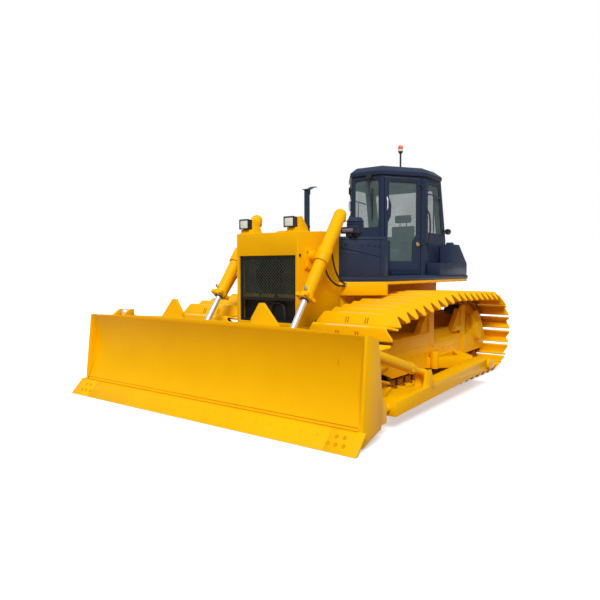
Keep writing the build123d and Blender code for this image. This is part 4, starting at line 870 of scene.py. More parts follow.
class DOZER_OT_cylinder_fittings(bpy.types.Operator):
    """Add the glands, clamps, steel lines and hoses of the lift and tilt cylinders"""
    bl_idname = "dozer.cylinder_fittings"
    bl_label = "Cylinder fittings"

    def execute(self, context):
        for side in ("left", "right"):
            self.fittings(side)
            self.hoses(side)
        self.struts()
        return {"FINISHED"}

    def fittings(self, side):
        """A lift cylinder's sleeve, gland, lugs, steel lines, bolts, port and rod seal."""
        sleeve = [(0.030, 0), (0.052, 0.010), (0.067, 0.030), (0.075, 0.058), (0.075, 0.660), (0.084, 0.664),
                  (0.084, 0.726), (0.075, 0.732)]
        gland = [(0.072, 0), (0.086, 0.006), (0.086, 0.058), (0.060, 0.063)]
        elbow = [(0.032, 0), (0.032, 0.030), (0.020, 0.036), (0.020, 0.050)]
        pieces = [turned("sleeve", on_lift(-0.672), LIFT, sleeve, 48),
                  turned("barrel", on_lift(0.055), LIFT, [(0.070, 0), (0.071, 0.490)], 48),
                  turned("gland", on_lift(0.535), LIFT, gland, 48),
                  turned("port", on_lift(-0.60, 0.060), BACK + LEFTWARD * 0.3, elbow, 20)]
        lug = block("lug", (-0.02, -0.03, -0.022), (0.02, 0.03, 0.022), 0.006)
        corners = around(on_lift(0.572), LEFTWARD, BACK, 0.088, range(40, 311, 90))
        pieces.append(copies("lugs", lug, [(point, LIFT) for point in corners]))
        for name, radius, route in (
                ("line", 0.009, ((-0.50, 0.062), (-0.46, 0.090), (-0.10, 0.112), (0.10, 0.112), (0.42, 0.094),
                                 (0.50, 0.066))),
                ("pipe", 0.010, ((0.02, 0.086), (0.05, 0.118), (0.12, 0.125), (0.46, 0.098), (0.53, 0.088),
                                 (0.56, 0.070)))):
            pieces.append(tube(name, [on_lift(distance, back) for distance, back in route], radius))
        steel = joined("fittings_" + side, pieces)
        heads = around(on_lift(BARREL_END), LEFTWARD, BACK, 0.060, range(0, 301, 60))
        cap = bolts("gland_bolts_" + side, [(point, LIFT) for point in heads], 0.016)
        port = turned("port_" + side, on_lift(0.50, -0.075) + LEFTWARD * 0.02, -BACK,
                      [(0.022, 0), (0.022, 0.018), (0.014, 0.020), (0.014, 0.034)], 6)
        seal = turned("rod_seal_" + side, on_lift(0.6), LIFT,
                      [(0.050, 0), (0.050, 0.006), (0.038, 0.012), (0.0345, 0.012)])
        for piece, finish in ((steel, "yellow"), (cap, "zinc"), (port, "zinc"), (seal, "rubber")):
            if side == "right":
                turn_over(piece)
            settle(piece, finish, "lift_barrel_" + side)

    def hoses(self, side):
        """Two pressure hoses from the barrel to steel pipes at the hood's side."""
        routes = {
            "upper": [(0.640, -0.840, 2.070), (0.590, -0.795, 2.030), (0.565, -0.790, 1.940),
                      (0.560, -0.800, 1.800), (0.560, -0.775, 1.640), (0.560, -0.710, 1.500),
                      (0.560, -0.620, 1.395), (0.555, -0.530, 1.352), (0.545, -0.470, 1.345)],
            "lower": [(0.610, -0.985, 1.720), (0.575, -0.965, 1.690), (0.560, -0.955, 1.615),
                      (0.560, -0.915, 1.495), (0.560, -0.815, 1.392), (0.560, -0.680, 1.328),
                      (0.555, -0.560, 1.318), (0.545, -0.470, 1.318)]}
        ferrule = [(0.015, -0.03), (0.015, 0.02), (0.019, 0.021), (0.019, 0.045), (0.011, 0.047),
                   (0.011, 0.30)]
        flip = -1 if side == "right" else 1
        for name, route in routes.items():
            route = [(flip * x, y, z) for x, y, z in route]
            hose = tube("hose_" + name + "_" + side, route, 0.011)
            coated(hose, "rubber")
            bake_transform(hose)
            settle(turned("ferrule_" + name + "_" + side, route[-1], REARWARD, ferrule, 16), "zinc")
        x = flip * 0.545
        settle(block("clamp_" + side, (x - 0.03, -0.40, 1.300), (x + 0.03, -0.36, 1.363), 0.005), "yellow")

    def struts(self):
        """The threaded collar of the brace, and the gland and port of the tilt cylinder."""
        foot, head = Vector((1.890, -1.000, 0.435)), Vector((1.660, -2.130, 0.840))
        axis = (head - foot).normalized()
        nut = turned("brace_nut", foot + axis * 0.215, axis,
                     [(0.050, 0), (0.062, 0.006), (0.062, 0.052), (0.056, 0.058)], 6)
        settle(nut, "yellow", "brace")
        foot, head = Vector((-1.890, -1.000, 0.435)), Vector((-1.660, -2.130, 0.985))
        axis = (head - foot).normalized()
        span = (head - foot).length
        gland = turned("tilt_gland", foot + axis * (span * 0.72 - 0.05), axis,
                       [(0.056, 0), (0.066, 0.006), (0.066, 0.044), (0.040, 0.052)])
        port = turned("tilt_port", foot + axis * 0.30 + Vector((0, 0, 0.05)), (0, 0.3, 1),
                      [(0.02, 0), (0.02, 0.03), (0.013, 0.032), (0.013, 0.05)], 6)
        settle(gland, "yellow", "tilt_barrel")
        settle(port, "zinc", "tilt_barrel")


# Hood

HOOD_FRONT = -1.356
HOOD_SIDE = 0.480
GRILLE_HALF = 0.440
GRILLE_LOW = 0.900
GRILLE_SILL = 1.170
GRILLE_TOP = 1.690
GRILLE_BAR = 0.028
MESH_Y = HOOD_FRONT + 0.030
MESH_PITCH = 0.021
LAMP_X = {-1: -0.365, 1: 0.342}
STACK_Y = -0.554


class DOZER_OT_hood_fittings(bpy.types.Operator):
    """Add the grille, the lamps' glass and frames, the hood's seams and bolts and the exhaust"""
    bl_idname = "dozer.hood_fittings"
    bl_label = "Hood fittings"

    def execute(self, context):
        self.grille()
        self.lamps()
        self.seams()
        self.exhaust()
        return {"FINISHED"}

    def grille(self):
        """Expanded-metal mesh in a dark frame, and behind it an ochre strip in three parts, a pipe and the fan's
        shroud.
        """
        half = GRILLE_HALF - 0.024
        wires = []
        rows = int((GRILLE_TOP - GRILLE_SILL - 0.03) / MESH_PITCH)
        for i in range(int(2 * half / MESH_PITCH)):
            x = -half + MESH_PITCH * (i + 0.5)
            swing = (MESH_PITCH / 2 - 0.001) * (1 if i % 2 else -1)
            line = [(x + swing * (1 if k % 2 else -1), MESH_Y, GRILLE_SILL + 0.015 + k * MESH_PITCH)
                    for k in range(rows + 1)]
            wires.append(tube("wire", line, 0.0036, order=2, sides=1))
        fitted("grille_mesh", wires, "mesh", stands_for=("grille",), angle=60)
        left, right, low, top = -GRILLE_HALF, GRILLE_HALF, GRILLE_LOW, GRILLE_TOP - 0.001
        bars = [block("bar", (x0, HOOD_FRONT + 0.018, z0), (x1, HOOD_FRONT + 0.046, z1), 0.004)
                for x0, x1, z0, z1 in ((left, right, GRILLE_TOP - GRILLE_BAR, top),
                                       (left, right, GRILLE_SILL - GRILLE_BAR / 2,
                                        GRILLE_SILL + GRILLE_BAR / 2),
                                       (left, right, low, low + GRILLE_BAR),
                                       (left, left + GRILLE_BAR, low, top),
                                       (right - GRILLE_BAR, right, low, top))]
        fitted("grille_frame", bars, "core")
        # Three dark ochre strips stand behind the mesh.
        strips = [block("strip", (x0, MESH_Y + 0.03, GRILLE_SILL + 0.020),
                        (x1, MESH_Y + 0.034, GRILLE_SILL + 0.062), 0.001)
                  for x0, x1 in ((-0.41, -0.17), (-0.14, 0.07), (0.13, 0.40))]
        fitted("ochre_strip", strips, "ochre")
        pipe = [(x, MESH_Y + 0.05, z) for x, z in ((0.00, 0.93), (0.00, 1.06), (0.03, 1.12), (0.12, 1.14),
                                                  (0.20, 1.11), (0.22, 1.02), (0.22, 0.93))]
        settle(tube("cooler_pipe", pipe, 0.022), "rubber")
        shroud = turned("fan_shroud", (0, HOOD_FRONT + 0.075, 1.44), (0, -1, 0),
                        [(0.240, 0), (0.240, 0.012), (0.228, 0.012), (0.228, 0.0)], 48)
        settle(shroud, "plastic")

    def lamps(self):
        """A head lamp on each side: a dark case, a ribbed glass in a bezel, the arched bracket behind."""
        cases, glasses, skins = [], [], []
        y = HOOD_FRONT
        arc = [(-1.270, 1.955), (-1.270, 2.128), (-1.225, 2.140), (-1.180, 2.126), (-1.145, 2.092),
               (-1.120, 2.040), (-1.108, 1.965)]
        for x in LAMP_X.values():
            cases.append(block("case", (x - 0.074, y + 0.016, 2.018), (x + 0.074, y + 0.080, 2.136), 0.010))
            for x0, x1, z0, z1 in ((-0.076, 0.076, 2.016, 2.030), (-0.076, 0.076, 2.124, 2.140),
                                   (-0.076, -0.062, 2.024, 2.130), (0.062, 0.076, 2.024, 2.130)):
                cases.append(block("bezel", (x + x0, y, z0), (x + x1, y + 0.022, z1), 0.005))
            glasses.append(block("glass", (x - 0.064, y + 0.007, 2.028), (x + 0.064, y + 0.018, 2.126),
                                 0.004))
            skins.append(plate("skin", [(x - 0.070, y1, z) for y1, z in arc], (0.140, 0, 0), 0.008))
            skins.append(block("foot", (x - 0.085, -1.300, 1.962), (x + 0.085, -1.090, 1.982), 0.006))
        fitted("lamp_cases", cases, "plastic", stands_for=("head_lamps",))
        fitted("lamp_glasses", glasses, "lens")
        fitted("lamp_hoods", skins, "yellow", angle=50)

    def seams(self):
        """Shut lines of the hood, the yokes' bosses and bolts, its other bolts and the radiator cap."""
        seam_x, boss_x = HOOD_SIDE - 0.0005, HOOD_SIDE - 0.002
        lines = [straight((side * seam_x, -0.500, 1.440), (side * seam_x, -0.500, 1.935), 0.003)
                 for side in (-1, 1)]
        lines.append(straight((-0.470, -0.860, 1.9860), (0.470, -0.860, 1.9860), 0.003))
        # The shut lines are thin tubes in the half-strength yellow: painted shade.
        fitted("hood_seams", lines, "shadow")
        boss = [(0.100, 0), (0.100, 0.018), (0.066, 0.026), (0.060, 0.060), (0.068, 0.066), (0.068, 0.100)]
        for side, word in ((-1, "right"), (1, "left")):
            bosses = [turned("boss", (side * boss_x, YOKE.y, YOKE.z), (side, 0, 0), boss, 36),
                      turned("foot", (side * boss_x, -1.165, 1.585), (side, 0, 0),
                             [(0.070, 0), (0.070, 0.014), (0.05, 0.03)], 28)]
            fitted("yoke_boss_" + word, bosses, "yellow")
        sides = [((HOOD_SIDE + 0.0005, y, z), LEFTWARD)
                 for y, z in ((-1.320, 1.690), (-1.010, 0.910), (-0.780, 0.905), (-0.990, 0.812))]
        settle(bolts("hood_side_bolts", both_sides(sides), 0.026), "iron")
        tops = [((x, -1.33, 1.9625), (0, -0.05, 1)) for x in (-0.44, -0.15, 0.15, 0.44)]
        settle(bolts("hood_top_bolts", tops, 0.020), "yellow")
        cap = turned("radiator_cap", (0.0, -1.05, 1.974), (0, -0.05, 1),
                     [(0.055, 0), (0.055, 0.018), (0.048, 0.026), (0.02, 0.028)])
        settle(cap, "yellow")
        brackets = [((0.500, -1.130 + dy, 1.682 + dz), LEFTWARD)
                    for dy, dz in ((-0.08, -0.12), (0.08, -0.12), (-0.08, 0.06), (0.08, 0.06))]
        settle(bolts("yoke_bolts", both_sides(brackets), 0.030), "yellow")

    def exhaust(self):
        """The exhaust: a slim stack on a flanged foot, with a hinged rain cap."""
        y = STACK_Y
        stack = turned("stack", (0, y, 1.960), ABOVE,
                       [(0.062, 0), (0.062, 0.048), (0.040, 0.056), (0.036, 0.080), (0.036, 0.590),
                        (0.031, 0.590), (0.031, 0.300)], 36)
        arc = [(-0.050, 2.552), (0.020, 2.553), (0.070, 2.575), (0.120, 2.600), (0.175, 2.605),
               (0.175, 2.615), (0.115, 2.611), (0.062, 2.586), (0.014, 2.564), (-0.050, 2.563)]
        flap = plate("flap", [(-0.038, y + off, z) for off, z in arc], (0.076, 0, 0), 0.002)
        lug = block("lug", (-0.012, y + 0.032, 2.500), (0.012, y + 0.060, 2.566), 0.004)
        clamp = turned("clamp", (0, y, 2.07), ABOVE,
                       [(0.036, 0), (0.042, 0.002), (0.042, 0.024), (0.036, 0.026)])
        fitted("exhaust_stack", [stack, flap, lug, clamp], "slate", stands_for=("exhaust",), angle=50)


# Cab

CAB_MIDDLE = Vector((0.0, 1.55, 2.3))
CAB_FRONT = 0.924
CAB_SIDE = 0.690
PANE_AREA = 0.1
SEAL_RADIUS = 0.010
SEAL_LIFT = 0.004
DOOR_ORIGIN = Vector((0.266, CAB_FRONT, 0.0))
DOOR_ALONG = Vector((0.417, 0.604, 0.0)).normalized()
DOOR_OUT = Vector((DOOR_ALONG.y, -DOOR_ALONG.x, 0.0))
DOOR_RUN = 0.652
HINGES = (1.945, 2.815)
BEACON = (0.270, 1.494)
BEACON_TOP = 3.449


def on_door(along, height, out=0.0):
    """A point on or off the left door's outer face."""
    return DOOR_ORIGIN + DOOR_ALONG * along + ABOVE * height + DOOR_OUT * out


def door_plate(name, corners, depth, edge):
    """A thin plate on the left door's face, with its corners as (along, height)."""
    return plate(name, [on_door(*corner) for corner in corners], DOOR_OUT * depth, edge)


def pane_loops(node):
    """The corner points and normal of each outward face of a node's panes."""
    scratch = merged_copy(node, "scratch")
    loops = []
    for face in scratch.data.polygons:
        if face.area > PANE_AREA and (face.center - CAB_MIDDLE).dot(face.normal) > 0:
            loops.append(([scratch.data.vertices[i].co.copy() for i in face.vertices], face.normal.copy()))
    bpy.data.objects.remove(scratch)
    return loops


def gaskets(name, node, body):
    """A rubber seal round each pane of a glass node."""
    seals = [tube("seal", [point + normal * SEAL_LIFT for point in loop], SEAL_RADIUS, closed=True, order=2)
             for loop, normal in pane_loops(node)]
    fitted(name, seals, "rubber", body)


class DOZER_OT_cab_fittings(bpy.types.Operator):
    """Add the window seals, the wiper, handles, locks, screws, rails, rear lamps and the beacon"""
    bl_idname = "dozer.cab_fittings"
    bl_label = "Cab fittings"

    def execute(self, context):
        gaskets("cab_seals", "cab_glass", CHASSIS)
        gaskets("door_seal_left", "door_glass_left", "door_left")
        gaskets("door_seal_right", "door_glass_right", "door_right")
        self.wiper()
        self.door("left")
        self.door("right")
        self.rails()
        self.beacon()
        return {"FINISHED"}

    def wiper(self):
        """The windshield's wiper, hung from the roof's front edge."""
        y = CAB_FRONT
        parts = [block("motor", (0.020, y - 0.055, 2.880), (0.110, y - 0.002, 2.945), 0.008)]
        for radius, route in ((0.006, ((0.060, 0.060, 2.900), (0.070, 0.052, 2.750), (0.110, 0.030, 2.560))),
                              (0.005, ((0.075, 0.060, 2.900), (0.090, 0.052, 2.700), (0.122, 0.030, 2.480)))):
            parts.append(tube("arm", [(x, y - out, z) for x, out, z in route], radius))
        parts.append(block("blade", (0.108, y - 0.030, 2.290), (0.126, y - 0.012, 2.740), 0.004))
        fitted("front_wiper", parts, "plastic")

    def door(self, side):
        """A door's handle in its cup, lock, crease and panel, and the screws of the door and its post."""
        pull = [(2.405, 0.002), (2.420, 0.030), (2.500, 0.034), (2.580, 0.030), (2.595, 0.002)]
        handle = tube("handle_" + side, [on_door(0.082, height, out) for height, out in pull], 0.011)
        cup = door_plate("cup_" + side, ((0.062, 2.365), (0.104, 2.365), (0.104, 2.635), (0.062, 2.635)),
                         0.005, 0.002)
        key = on_door(DOOR_RUN - 0.045, 1.908)
        lock = turned("lock_" + side, key, DOOR_OUT,
                      [(0.030, 0), (0.030, 0.008), (0.020, 0.012), (0.020, 0.020), (0.012, 0.022)], 24)
        rose = turned("rose_" + side, key, DOOR_OUT, [(0.052, 0), (0.052, 0.004), (0.046, 0.007)], 28)
        heights = [z + off for z in HINGES for off in (-0.07, 0.0, 0.07)]
        screws, studs = (bolts(name + side, [(on_door(DOOR_RUN + off, z), DOOR_OUT) for z in heights], 0.020)
                         for name, off in (("door_screws_", -0.030), ("post_screws_", 0.048)))
        crease = tube("door_crease_" + side,
                      [on_door(0.175, 1.475, 0.001), on_door(DOOR_RUN - 0.02, 1.475, 0.001)], 0.004, order=2)
        inset = door_plate("door_panel_" + side, ((0.140, 1.500), (DOOR_RUN - 0.035, 1.500),
                                                  (DOOR_RUN - 0.035, 1.600), (0.120, 1.600)), 0.004, 0.003)
        # The screws are in the lightened slate: painted highlight.
        made = {"chrome": [handle], "brass": [lock], "slate": [cup, rose, crease, inset],
                "slate_highlight": [screws, studs]}
        for finish, pieces in made.items():
            for piece in pieces:
                if side == "right":
                    turn_over(piece)
                settle(piece, finish, CHASSIS if piece is studs else "door_" + side, "dark_paint")

    def rails(self):
        """The bars of the rear side windows, the grab rails and the rear lamps on their arms."""
        bars, dark = [], []
        for side in (-1, 1):
            for made, radius, order, route in (
                    (bars, 0.011, 3, ((0, 1.600, 2.672), (0.012, 1.640, 2.682), (0.012, 1.980, 2.662),
                                      (0, 2.030, 2.652))),
                    (bars, 0.008, 2, ((0, 1.800, 2.085), (0.004, 1.800, 2.100), (0.004, 1.800, 2.650))),
                    (dark, 0.012, 3, ((0, 1.565, 1.900), (0.060, 1.565, 1.930), (0.060, 1.565, 2.400),
                                      (0, 1.565, 2.430))),
                    (dark, 0.014, 3, ((0, 2.170, 2.110), (0.020, 2.220, 2.130), (0.024, 2.270, 2.138)))):
                points = [(side * (CAB_SIDE + out), y, z) for out, y, z in route]
                made.append(tube("rail", points, radius, order=order))
            dark.append(turned("lamp", (side * (CAB_SIDE + 0.024), 2.250, 2.138), REARWARD,
                               [(0.030, 0), (0.046, 0.03), (0.048, 0.08), (0.044, 0.085)], 24))
        # The window bars are in the lightened slate: painted highlight.
        fitted("side_window_bars", bars, "slate_highlight")
        fitted("grab_rails", dark, "plastic")

    def beacon(self):
        """The beacon: a stem with its cup, a white ring and an orange dome over it."""
        stem = turned("beacon_stem", (*BEACON, 3.060), ABOVE,
                      [(0.045, 0), (0.045, 0.012), (0.014, 0.018), (0.014, 0.255), (0.036, 0.285),
                       (0.038, 0.300), (0.034, 0.302)], 28)
        settle(stem, "plastic", stands_for=("beacon",))
        collar = turned("beacon_ring", (*BEACON, BEACON_TOP - 0.092), ABOVE,
                        [(0.040, 0), (0.041, 0.026), (0.038, 0.030)], 32)
        settle(collar, "lens", slot="amber")
        dome = turned("beacon_dome", (*BEACON, BEACON_TOP - 0.064), ABOVE,
                      [(0.038, 0), (0.037, 0.046), (0.031, 0.058), (0.018, 0.064)], 32)
        settle(dome, "amber")


# Inside the cab

VOXEL = 0.014
CLOTH_FRAMES = 20


def cushion(name, low, high, edge, limit):
    """A padded block: a remeshed closed cover, blown up a little, no point moving more than the limit."""
    piece = block(name, low, high, edge)
    modify(piece, "REMESH", mode="VOXEL", voxel_size=VOXEL)
    start = [vertex.co.copy() for vertex in piece.data.vertices]
    cloth = piece.modifiers.new("cloth", "CLOTH")
    cloth.settings.use_pressure = True
    cloth.settings.uniform_pressure_force = 4
    cloth.settings.effector_weights.gravity = 0
    for step in range(1, CLOTH_FRAMES + 1):
        bpy.context.scene.frame_set(step)
    choose(piece)
    bpy.ops.object.modifier_apply(modifier=cloth.name)
    bpy.context.scene.frame_set(1)
    for vertex, rest in zip(piece.data.vertices, start):
        moved = vertex.co - rest
        if moved.length > limit:
            vertex.co = rest + moved * (limit / moved.length)
    modify(piece, "SUBSURF", levels=1)
    settle(piece, "cloth", angle=80)
    return piece


class DOZER_OT_interior(bpy.types.Operator):
    """Add the padded seat, its base, the lever boots and the dashboard"""
    bl_idname = "dozer.interior"
    bl_label = "Inside the cab"

    def execute(self, context):
        seat = cushion("seat_cushion", (-0.230, 1.575, 1.730), (0.230, 2.050, 1.840), 0.030, 0.016)
        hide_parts("seat")
        cushion("seat_back", (-0.220, 2.065, 1.850), (0.220, 2.155, 2.260), 0.030, 0.016)
        cushion("head_rest", (-0.150, 2.075, 2.300), (0.150, 2.145, 2.430), 0.025, 0.012)
        base = [block("base", (-0.205, 1.625, 1.430), (0.205, 2.045, 1.690), 0.02),
                block("pan", (-0.225, 1.590, 1.690), (0.225, 2.070, 1.730), 0.012)]
        base += [straight((x, 2.11, 2.24), (x, 2.11, 2.32), 0.008) for x in (-0.06, 0.06)]
        fitted("seat_base", base, "plastic")
        fitted("dash_panel", [block("face", (-0.185, 1.095, 1.900), (0.185, 1.115, 2.105), 0.012)], "slate")
        dials = [turned("dial", (x, 1.114, 2.03), REARWARD, [(0.036, 0), (0.036, 0.006), (0.030, 0.004)], 28)
                 for x in (-0.11, 0.0, 0.11)]
        fitted("dials", dials, "lens")
        boots = [turned("boot", (x, 1.548, 1.955), (0, -0.25, 1),
                        [(0.055, 0), (0.050, 0.012), (0.034, 0.016), (0.030, 0.028), (0.020, 0.032),
                         (0.016, 0.045)], 24) for x in (-0.335, 0.335)]
        fitted("lever_boots", boots, "rubber")
        return {"FINISHED"}


# Platforms, cowl and tank

COWL_FOOT = Vector((0.480, -0.526, 0))
COWL_END = Vector((0.920, -0.136, 0))
TREADS = 14
TREAD_PITCH = 0.06
INTAKE = (0.600, -0.330, 1.940)
FINS = 20
FIN_RING = 0.1055
TANK_REAR = 2.631


class DOZER_OT_platform_fittings(bpy.types.Operator):
    """Add the cowl's creases and bolts, the treads, the intake's bands, the work lamp and the tank's parts"""
    bl_idname = "dozer.platform_fittings"
    bl_label = "Platform fittings"

    def execute(self, context):
        self.cowl()
        self.intake()
        self.tank()
        return {"FINISHED"}

    def cowl(self):
        """Creases, a strip and bolts on the cowl's slanting faces, and the deck's treads."""
        along = (COWL_END - COWL_FOOT).normalized()
        out = Vector((along.y, -along.x, 0))
        reach = (COWL_END - COWL_FOOT).length

        def spot(distance, height):
            """A point on the left slanting face."""
            return COWL_FOOT + along * distance + ABOVE * height

        lines = [straight(spot(0.02, 1.800), spot(reach - 0.03, 1.680), 0.004),
                 straight(spot(0.02, 1.905), spot(reach - 0.02, 1.905), 0.004),
                 straight(spot(reach - 0.05, 1.47), spot(reach - 0.05, 1.90), 0.0035)]
        corners = [spot(0.05, 1.742), spot(0.25, 1.722), spot(0.25, 1.736), spot(0.05, 1.756)]
        strip = plate("strip", corners, out * 0.004, 0.001)
        # The creases are thin tubes in slate at 0.4: painted shade.
        settle(mirrored(joined("cowl_creases", lines)), "shadow_slate")
        # The strip is in the lightened slate: painted highlight.
        settle(mirrored(strip), "slate_highlight").name = "cowl_strip"
        studs = [(spot(a, z), out) for a, z in ((0.09, 1.845), (0.30, 1.835), (0.38, 1.835), (0.46, 1.83),
                                                (0.52, 1.83), (0.09, 1.48), (0.30, 1.48), (0.52, 1.48))]
        settle(bolts("cowl_bolts", both_sides(studs), 0.022), "slate")
        rows = [0.68 + i * TREAD_PITCH for i in range(TREADS)]
        treads = [block("tread", (x - 0.105, y, DECK_TOP), (x + 0.105, y + 0.016, DECK_TOP + 0.006), 0.002)
                  for x in (-0.80, 0.80) for y in rows]
        # The treads are in the lightened slate: painted highlight.
        fitted("deck_treads", treads, "slate_highlight")

    def intake(self):
        """The bands and fins of the air intake, and the work lamp's glass and bezel."""
        x, y, z = INTAKE
        bands = [turned("band", (x, y, z + height), ABOVE,
                        [(0.104, 0), (0.110, 0.003), (0.110, 0.017), (0.104, 0.020)], 40)
                 for height in (0.052, 0.150)]
        fins = []
        for turn in [math.radians(360 / FINS * i) for i in range(FINS)]:
            fin = block("fin", (-0.003, -0.004, 0), (0.003, 0.004, 0.066), 0.001)
            fin.location = (x + FIN_RING * math.cos(turn), y + FIN_RING * math.sin(turn), z + 0.078)
            fin.rotation_euler = (0, 0, turn)
            choose(fin)
            bpy.ops.object.transform_apply(location=True, rotation=True)
            fins.append(fin)
        fitted("intake_bands", bands + fins, "slate")
        glass = block("work_lamp_glass", (x - 0.105, y - 0.1450, z + 0.060),
                      (x + 0.055, y - 0.139, z + 0.100), 0.003)
        settle(glass, "dim")
        bezel = [block("bezel", (x - 0.150, y - 0.1445, z + low), (x + 0.100, y - 0.130, z + low + 0.014),
                       0.004) for low in (0.042, 0.104)]
        fitted("work_lamp_bezel", bezel, "plastic")

    def tank(self):
        """The tank's filler caps, seams and rear lamps, and the fenders' bolts."""
        caps = [turned("cap", (x, 2.160, 1.920), ABOVE,
                       [(0.062, 0), (0.062, 0.020), (0.050, 0.034), (0.02, 0.036)], 32)
                for x in (-0.815, 0.815)]
        fitted("filler_caps", caps, "slate")
        rear = TANK_REAR
        seams = [straight((x, rear - 0.004, 1.440), (x, rear - 0.004, 1.610), 0.004) for x in (-0.6, 0, 0.6)]
        seams.append(straight((-0.91, rear - 0.005, 1.618), (0.91, rear - 0.005, 1.618), 0.005))
        # The seams are thin tubes in slate at 0.4: painted shade.
        fitted("tank_seams", seams, "shadow_slate")
        lamps, rims = [], []
        for x in (-0.78, 0.78):
            lamps.append(block("lens", (x - 0.07, rear - 0.004, 1.500), (x + 0.07, rear - 0.0005, 1.560),
                               0.0015))
            rims.append(block("rim", (x - 0.082, rear - 0.003, 1.488), (x + 0.082, rear - 0.0015, 1.572),
                              0.0005))
        fitted("rear_lamp_lenses", lamps, "red")
        fitted("rear_lamp_rims", rims, "plastic")
        side_bolts = [((0.9405, -0.05 + i * 0.30, 1.35), LEFTWARD) for i in range(9)]
        settle(bolts("fender_bolts", both_sides(side_bolts), 0.022), "yellow")


# Stage: the camera's place and turn are solved from the photograph

SUN_FROM = (0.42, -0.58, 0.70)
VIEW_FROM = (4.486, -6.437, 1.536)
VIEW_AZIMUTH = 35.70
VIEW_DOWN = 2.73
VIEW_SHIFT = (-0.0386, -0.0073)


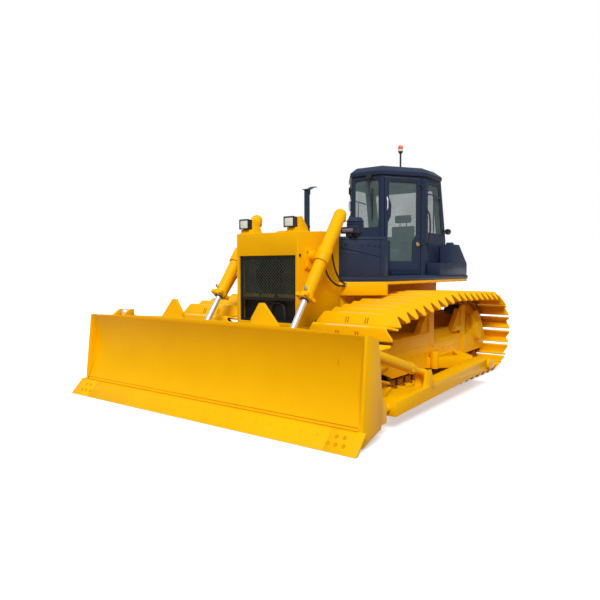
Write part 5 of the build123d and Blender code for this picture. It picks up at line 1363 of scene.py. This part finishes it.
class DOZER_OT_stage(bpy.types.Operator):
    """Add the floor, the lights and the camera"""
    bl_idname = "dozer.stage"
    bl_label = "Stage"

    def execute(self, context):
        stage = settings("stage")
        scene = context.scene
        scene.view_settings.view_transform = "Standard"
        world = bpy.data.worlds.new("studio")
        scene.world = world
        world.use_nodes = True
        tree = world.node_tree
        tree.nodes.clear()
        path = add_node(tree, "ShaderNodeLightPath")
        seen = add_node(tree, "ShaderNodeMath", {"operation": "MAXIMUM"},
                        {0: path.outputs["Is Camera Ray"], 1: path.outputs["Is Transmission Ray"]})
        # The soft light comes from above and fades to the horizon, as under a large overhead softbox.
        place = add_node(tree, "ShaderNodeTexCoord")
        way = add_node(tree, "ShaderNodeSeparateXYZ", {}, {0: place.outputs["Generated"]})
        height = add_node(tree, "ShaderNodeMapRange",
                          {"From Min": 0.0, "From Max": 0.9, "To Min": 0.36, "To Max": 1.0},
                          {"Value": way.outputs[2]})
        strength = add_node(tree, "ShaderNodeMath", {"operation": "MULTIPLY", 1: stage.sky},
                            {0: height.outputs[0]})
        soft = add_node(tree, "ShaderNodeBackground", {"Color": (1, 1, 1, 1)},
                        {"Strength": strength.outputs[0]})
        white = add_node(tree, "ShaderNodeBackground", {"Color": (1, 1, 1, 1), "Strength": 1.0})
        mixed = add_node(tree, "ShaderNodeMixShader", {}, {0: seen.outputs[0], 1: soft.outputs[0],
                                                          2: white.outputs[0]})
        add_node(tree, "ShaderNodeOutputWorld", {}, {0: mixed.outputs[0]})
        self.floor()
        self.lamps(stage.key)
        self.camera(scene, stage.lens)
        return {"FINISHED"}

    def floor(self):
        """A pale floor that is white to the camera and keeps the machine's shadow."""
        wake()
        bpy.ops.mesh.primitive_plane_add(size=400)
        floor = bpy.context.object
        floor.name = "floor"
        material = bpy.data.materials.new("pale_floor")
        material.use_nodes = True
        tree = material.node_tree
        tree.nodes.clear()
        path = add_node(tree, "ShaderNodeLightPath")
        direct = add_node(tree, "ShaderNodeMath", {"operation": "MAXIMUM"},
                          {0: path.outputs["Is Camera Ray"], 1: path.outputs["Is Glossy Ray"]})
        seen = add_node(tree, "ShaderNodeMath", {"operation": "MAXIMUM"},
                        {0: direct.outputs[0], 1: path.outputs["Is Transmission Ray"]})
        matt = add_node(tree, "ShaderNodeBsdfDiffuse", {"Color": srgb("#8C6A40")})
        pale = add_node(tree, "ShaderNodeBsdfDiffuse", {"Color": (0.8, 0.8, 0.8, 1)})
        glow = add_node(tree, "ShaderNodeEmission", {"Color": (1, 1, 1, 1), "Strength": 0.45})
        bright = add_node(tree, "ShaderNodeAddShader", {}, {0: pale.outputs[0], 1: glow.outputs[0]})
        mixed = add_node(tree, "ShaderNodeMixShader", {}, {0: seen.outputs[0], 1: matt.outputs[0],
                                                          2: bright.outputs[0]})
        add_node(tree, "ShaderNodeOutputMaterial", {}, {0: mixed.outputs[0]})
        floor.data.materials.append(material)

    def lamps(self, key):
        """A broad sun from above and ahead of the machine's left side."""
        wake()
        bpy.ops.object.light_add(type="SUN", rotation=Vector(SUN_FROM).to_track_quat("Z", "Y").to_euler())
        sun = bpy.context.object
        sun.data.energy = key
        sun.data.angle = math.radians(24)

    def camera(self, scene, lens):
        """The photograph's view, solved from the machine's known sizes."""
        azimuth, down = math.radians(VIEW_AZIMUTH), math.radians(VIEW_DOWN)
        flat = math.cos(down)
        back = Vector((math.sin(azimuth) * flat, -math.cos(azimuth) * flat, math.sin(down)))
        wake()
        bpy.ops.object.camera_add(location=VIEW_FROM)
        camera = bpy.context.object
        camera.rotation_mode = "QUATERNION"
        camera.rotation_quaternion = (-back).to_track_quat("-Z", "Y")
        camera.data.lens = lens
        camera.data.sensor_width = 36
        camera.data.shift_x = VIEW_SHIFT[0]
        camera.data.shift_y = VIEW_SHIFT[1]
        scene.camera = camera


class DOZER_PT_panel(bpy.types.Panel):
    """Lists the machine's pieces and settings"""
    bl_label = "Swamp Dozer"
    bl_idname = "DOZER_PT_panel"
    bl_space_type = "VIEW_3D"
    bl_region_type = "UI"
    bl_category = "Dozer"

    def draw(self, context):
        for operator in OPERATORS:
            self.layout.operator(operator.bl_idname)
        for group in GROUPS:
            for name in GROUPS[group].__annotations__:
                self.layout.prop(settings(group), name)


OPERATORS = [DOZER_OT_paint, DOZER_OT_blade_irons, DOZER_OT_track_irons, DOZER_OT_frame_irons,
             DOZER_OT_cylinder_fittings, DOZER_OT_hood_fittings, DOZER_OT_cab_fittings, DOZER_OT_interior,
             DOZER_OT_platform_fittings, DOZER_OT_stage]
GROUPS = {"paint": DOZER_PG_paint, "sheet": DOZER_PG_sheet, "stage": DOZER_PG_stage}


def register():
    for group, kind in GROUPS.items():
        bpy.utils.register_class(kind)
        setattr(bpy.types.Scene, "dozer_" + group, PointerProperty(type=kind))
    for kind in OPERATORS + [DOZER_PT_panel]:
        bpy.utils.register_class(kind)


def unregister():
    for kind in reversed(OPERATORS + [DOZER_PT_panel]):
        bpy.utils.unregister_class(kind)
    for group, kind in GROUPS.items():
        delattr(bpy.types.Scene, "dozer_" + group)
        bpy.utils.unregister_class(kind)


def main():
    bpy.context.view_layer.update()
    register()
    for operator in OPERATORS:
        group, name = operator.bl_idname.split(".")
        getattr(getattr(bpy.ops, group), name)()
    wake()


if __name__ == "__main__":
    main()
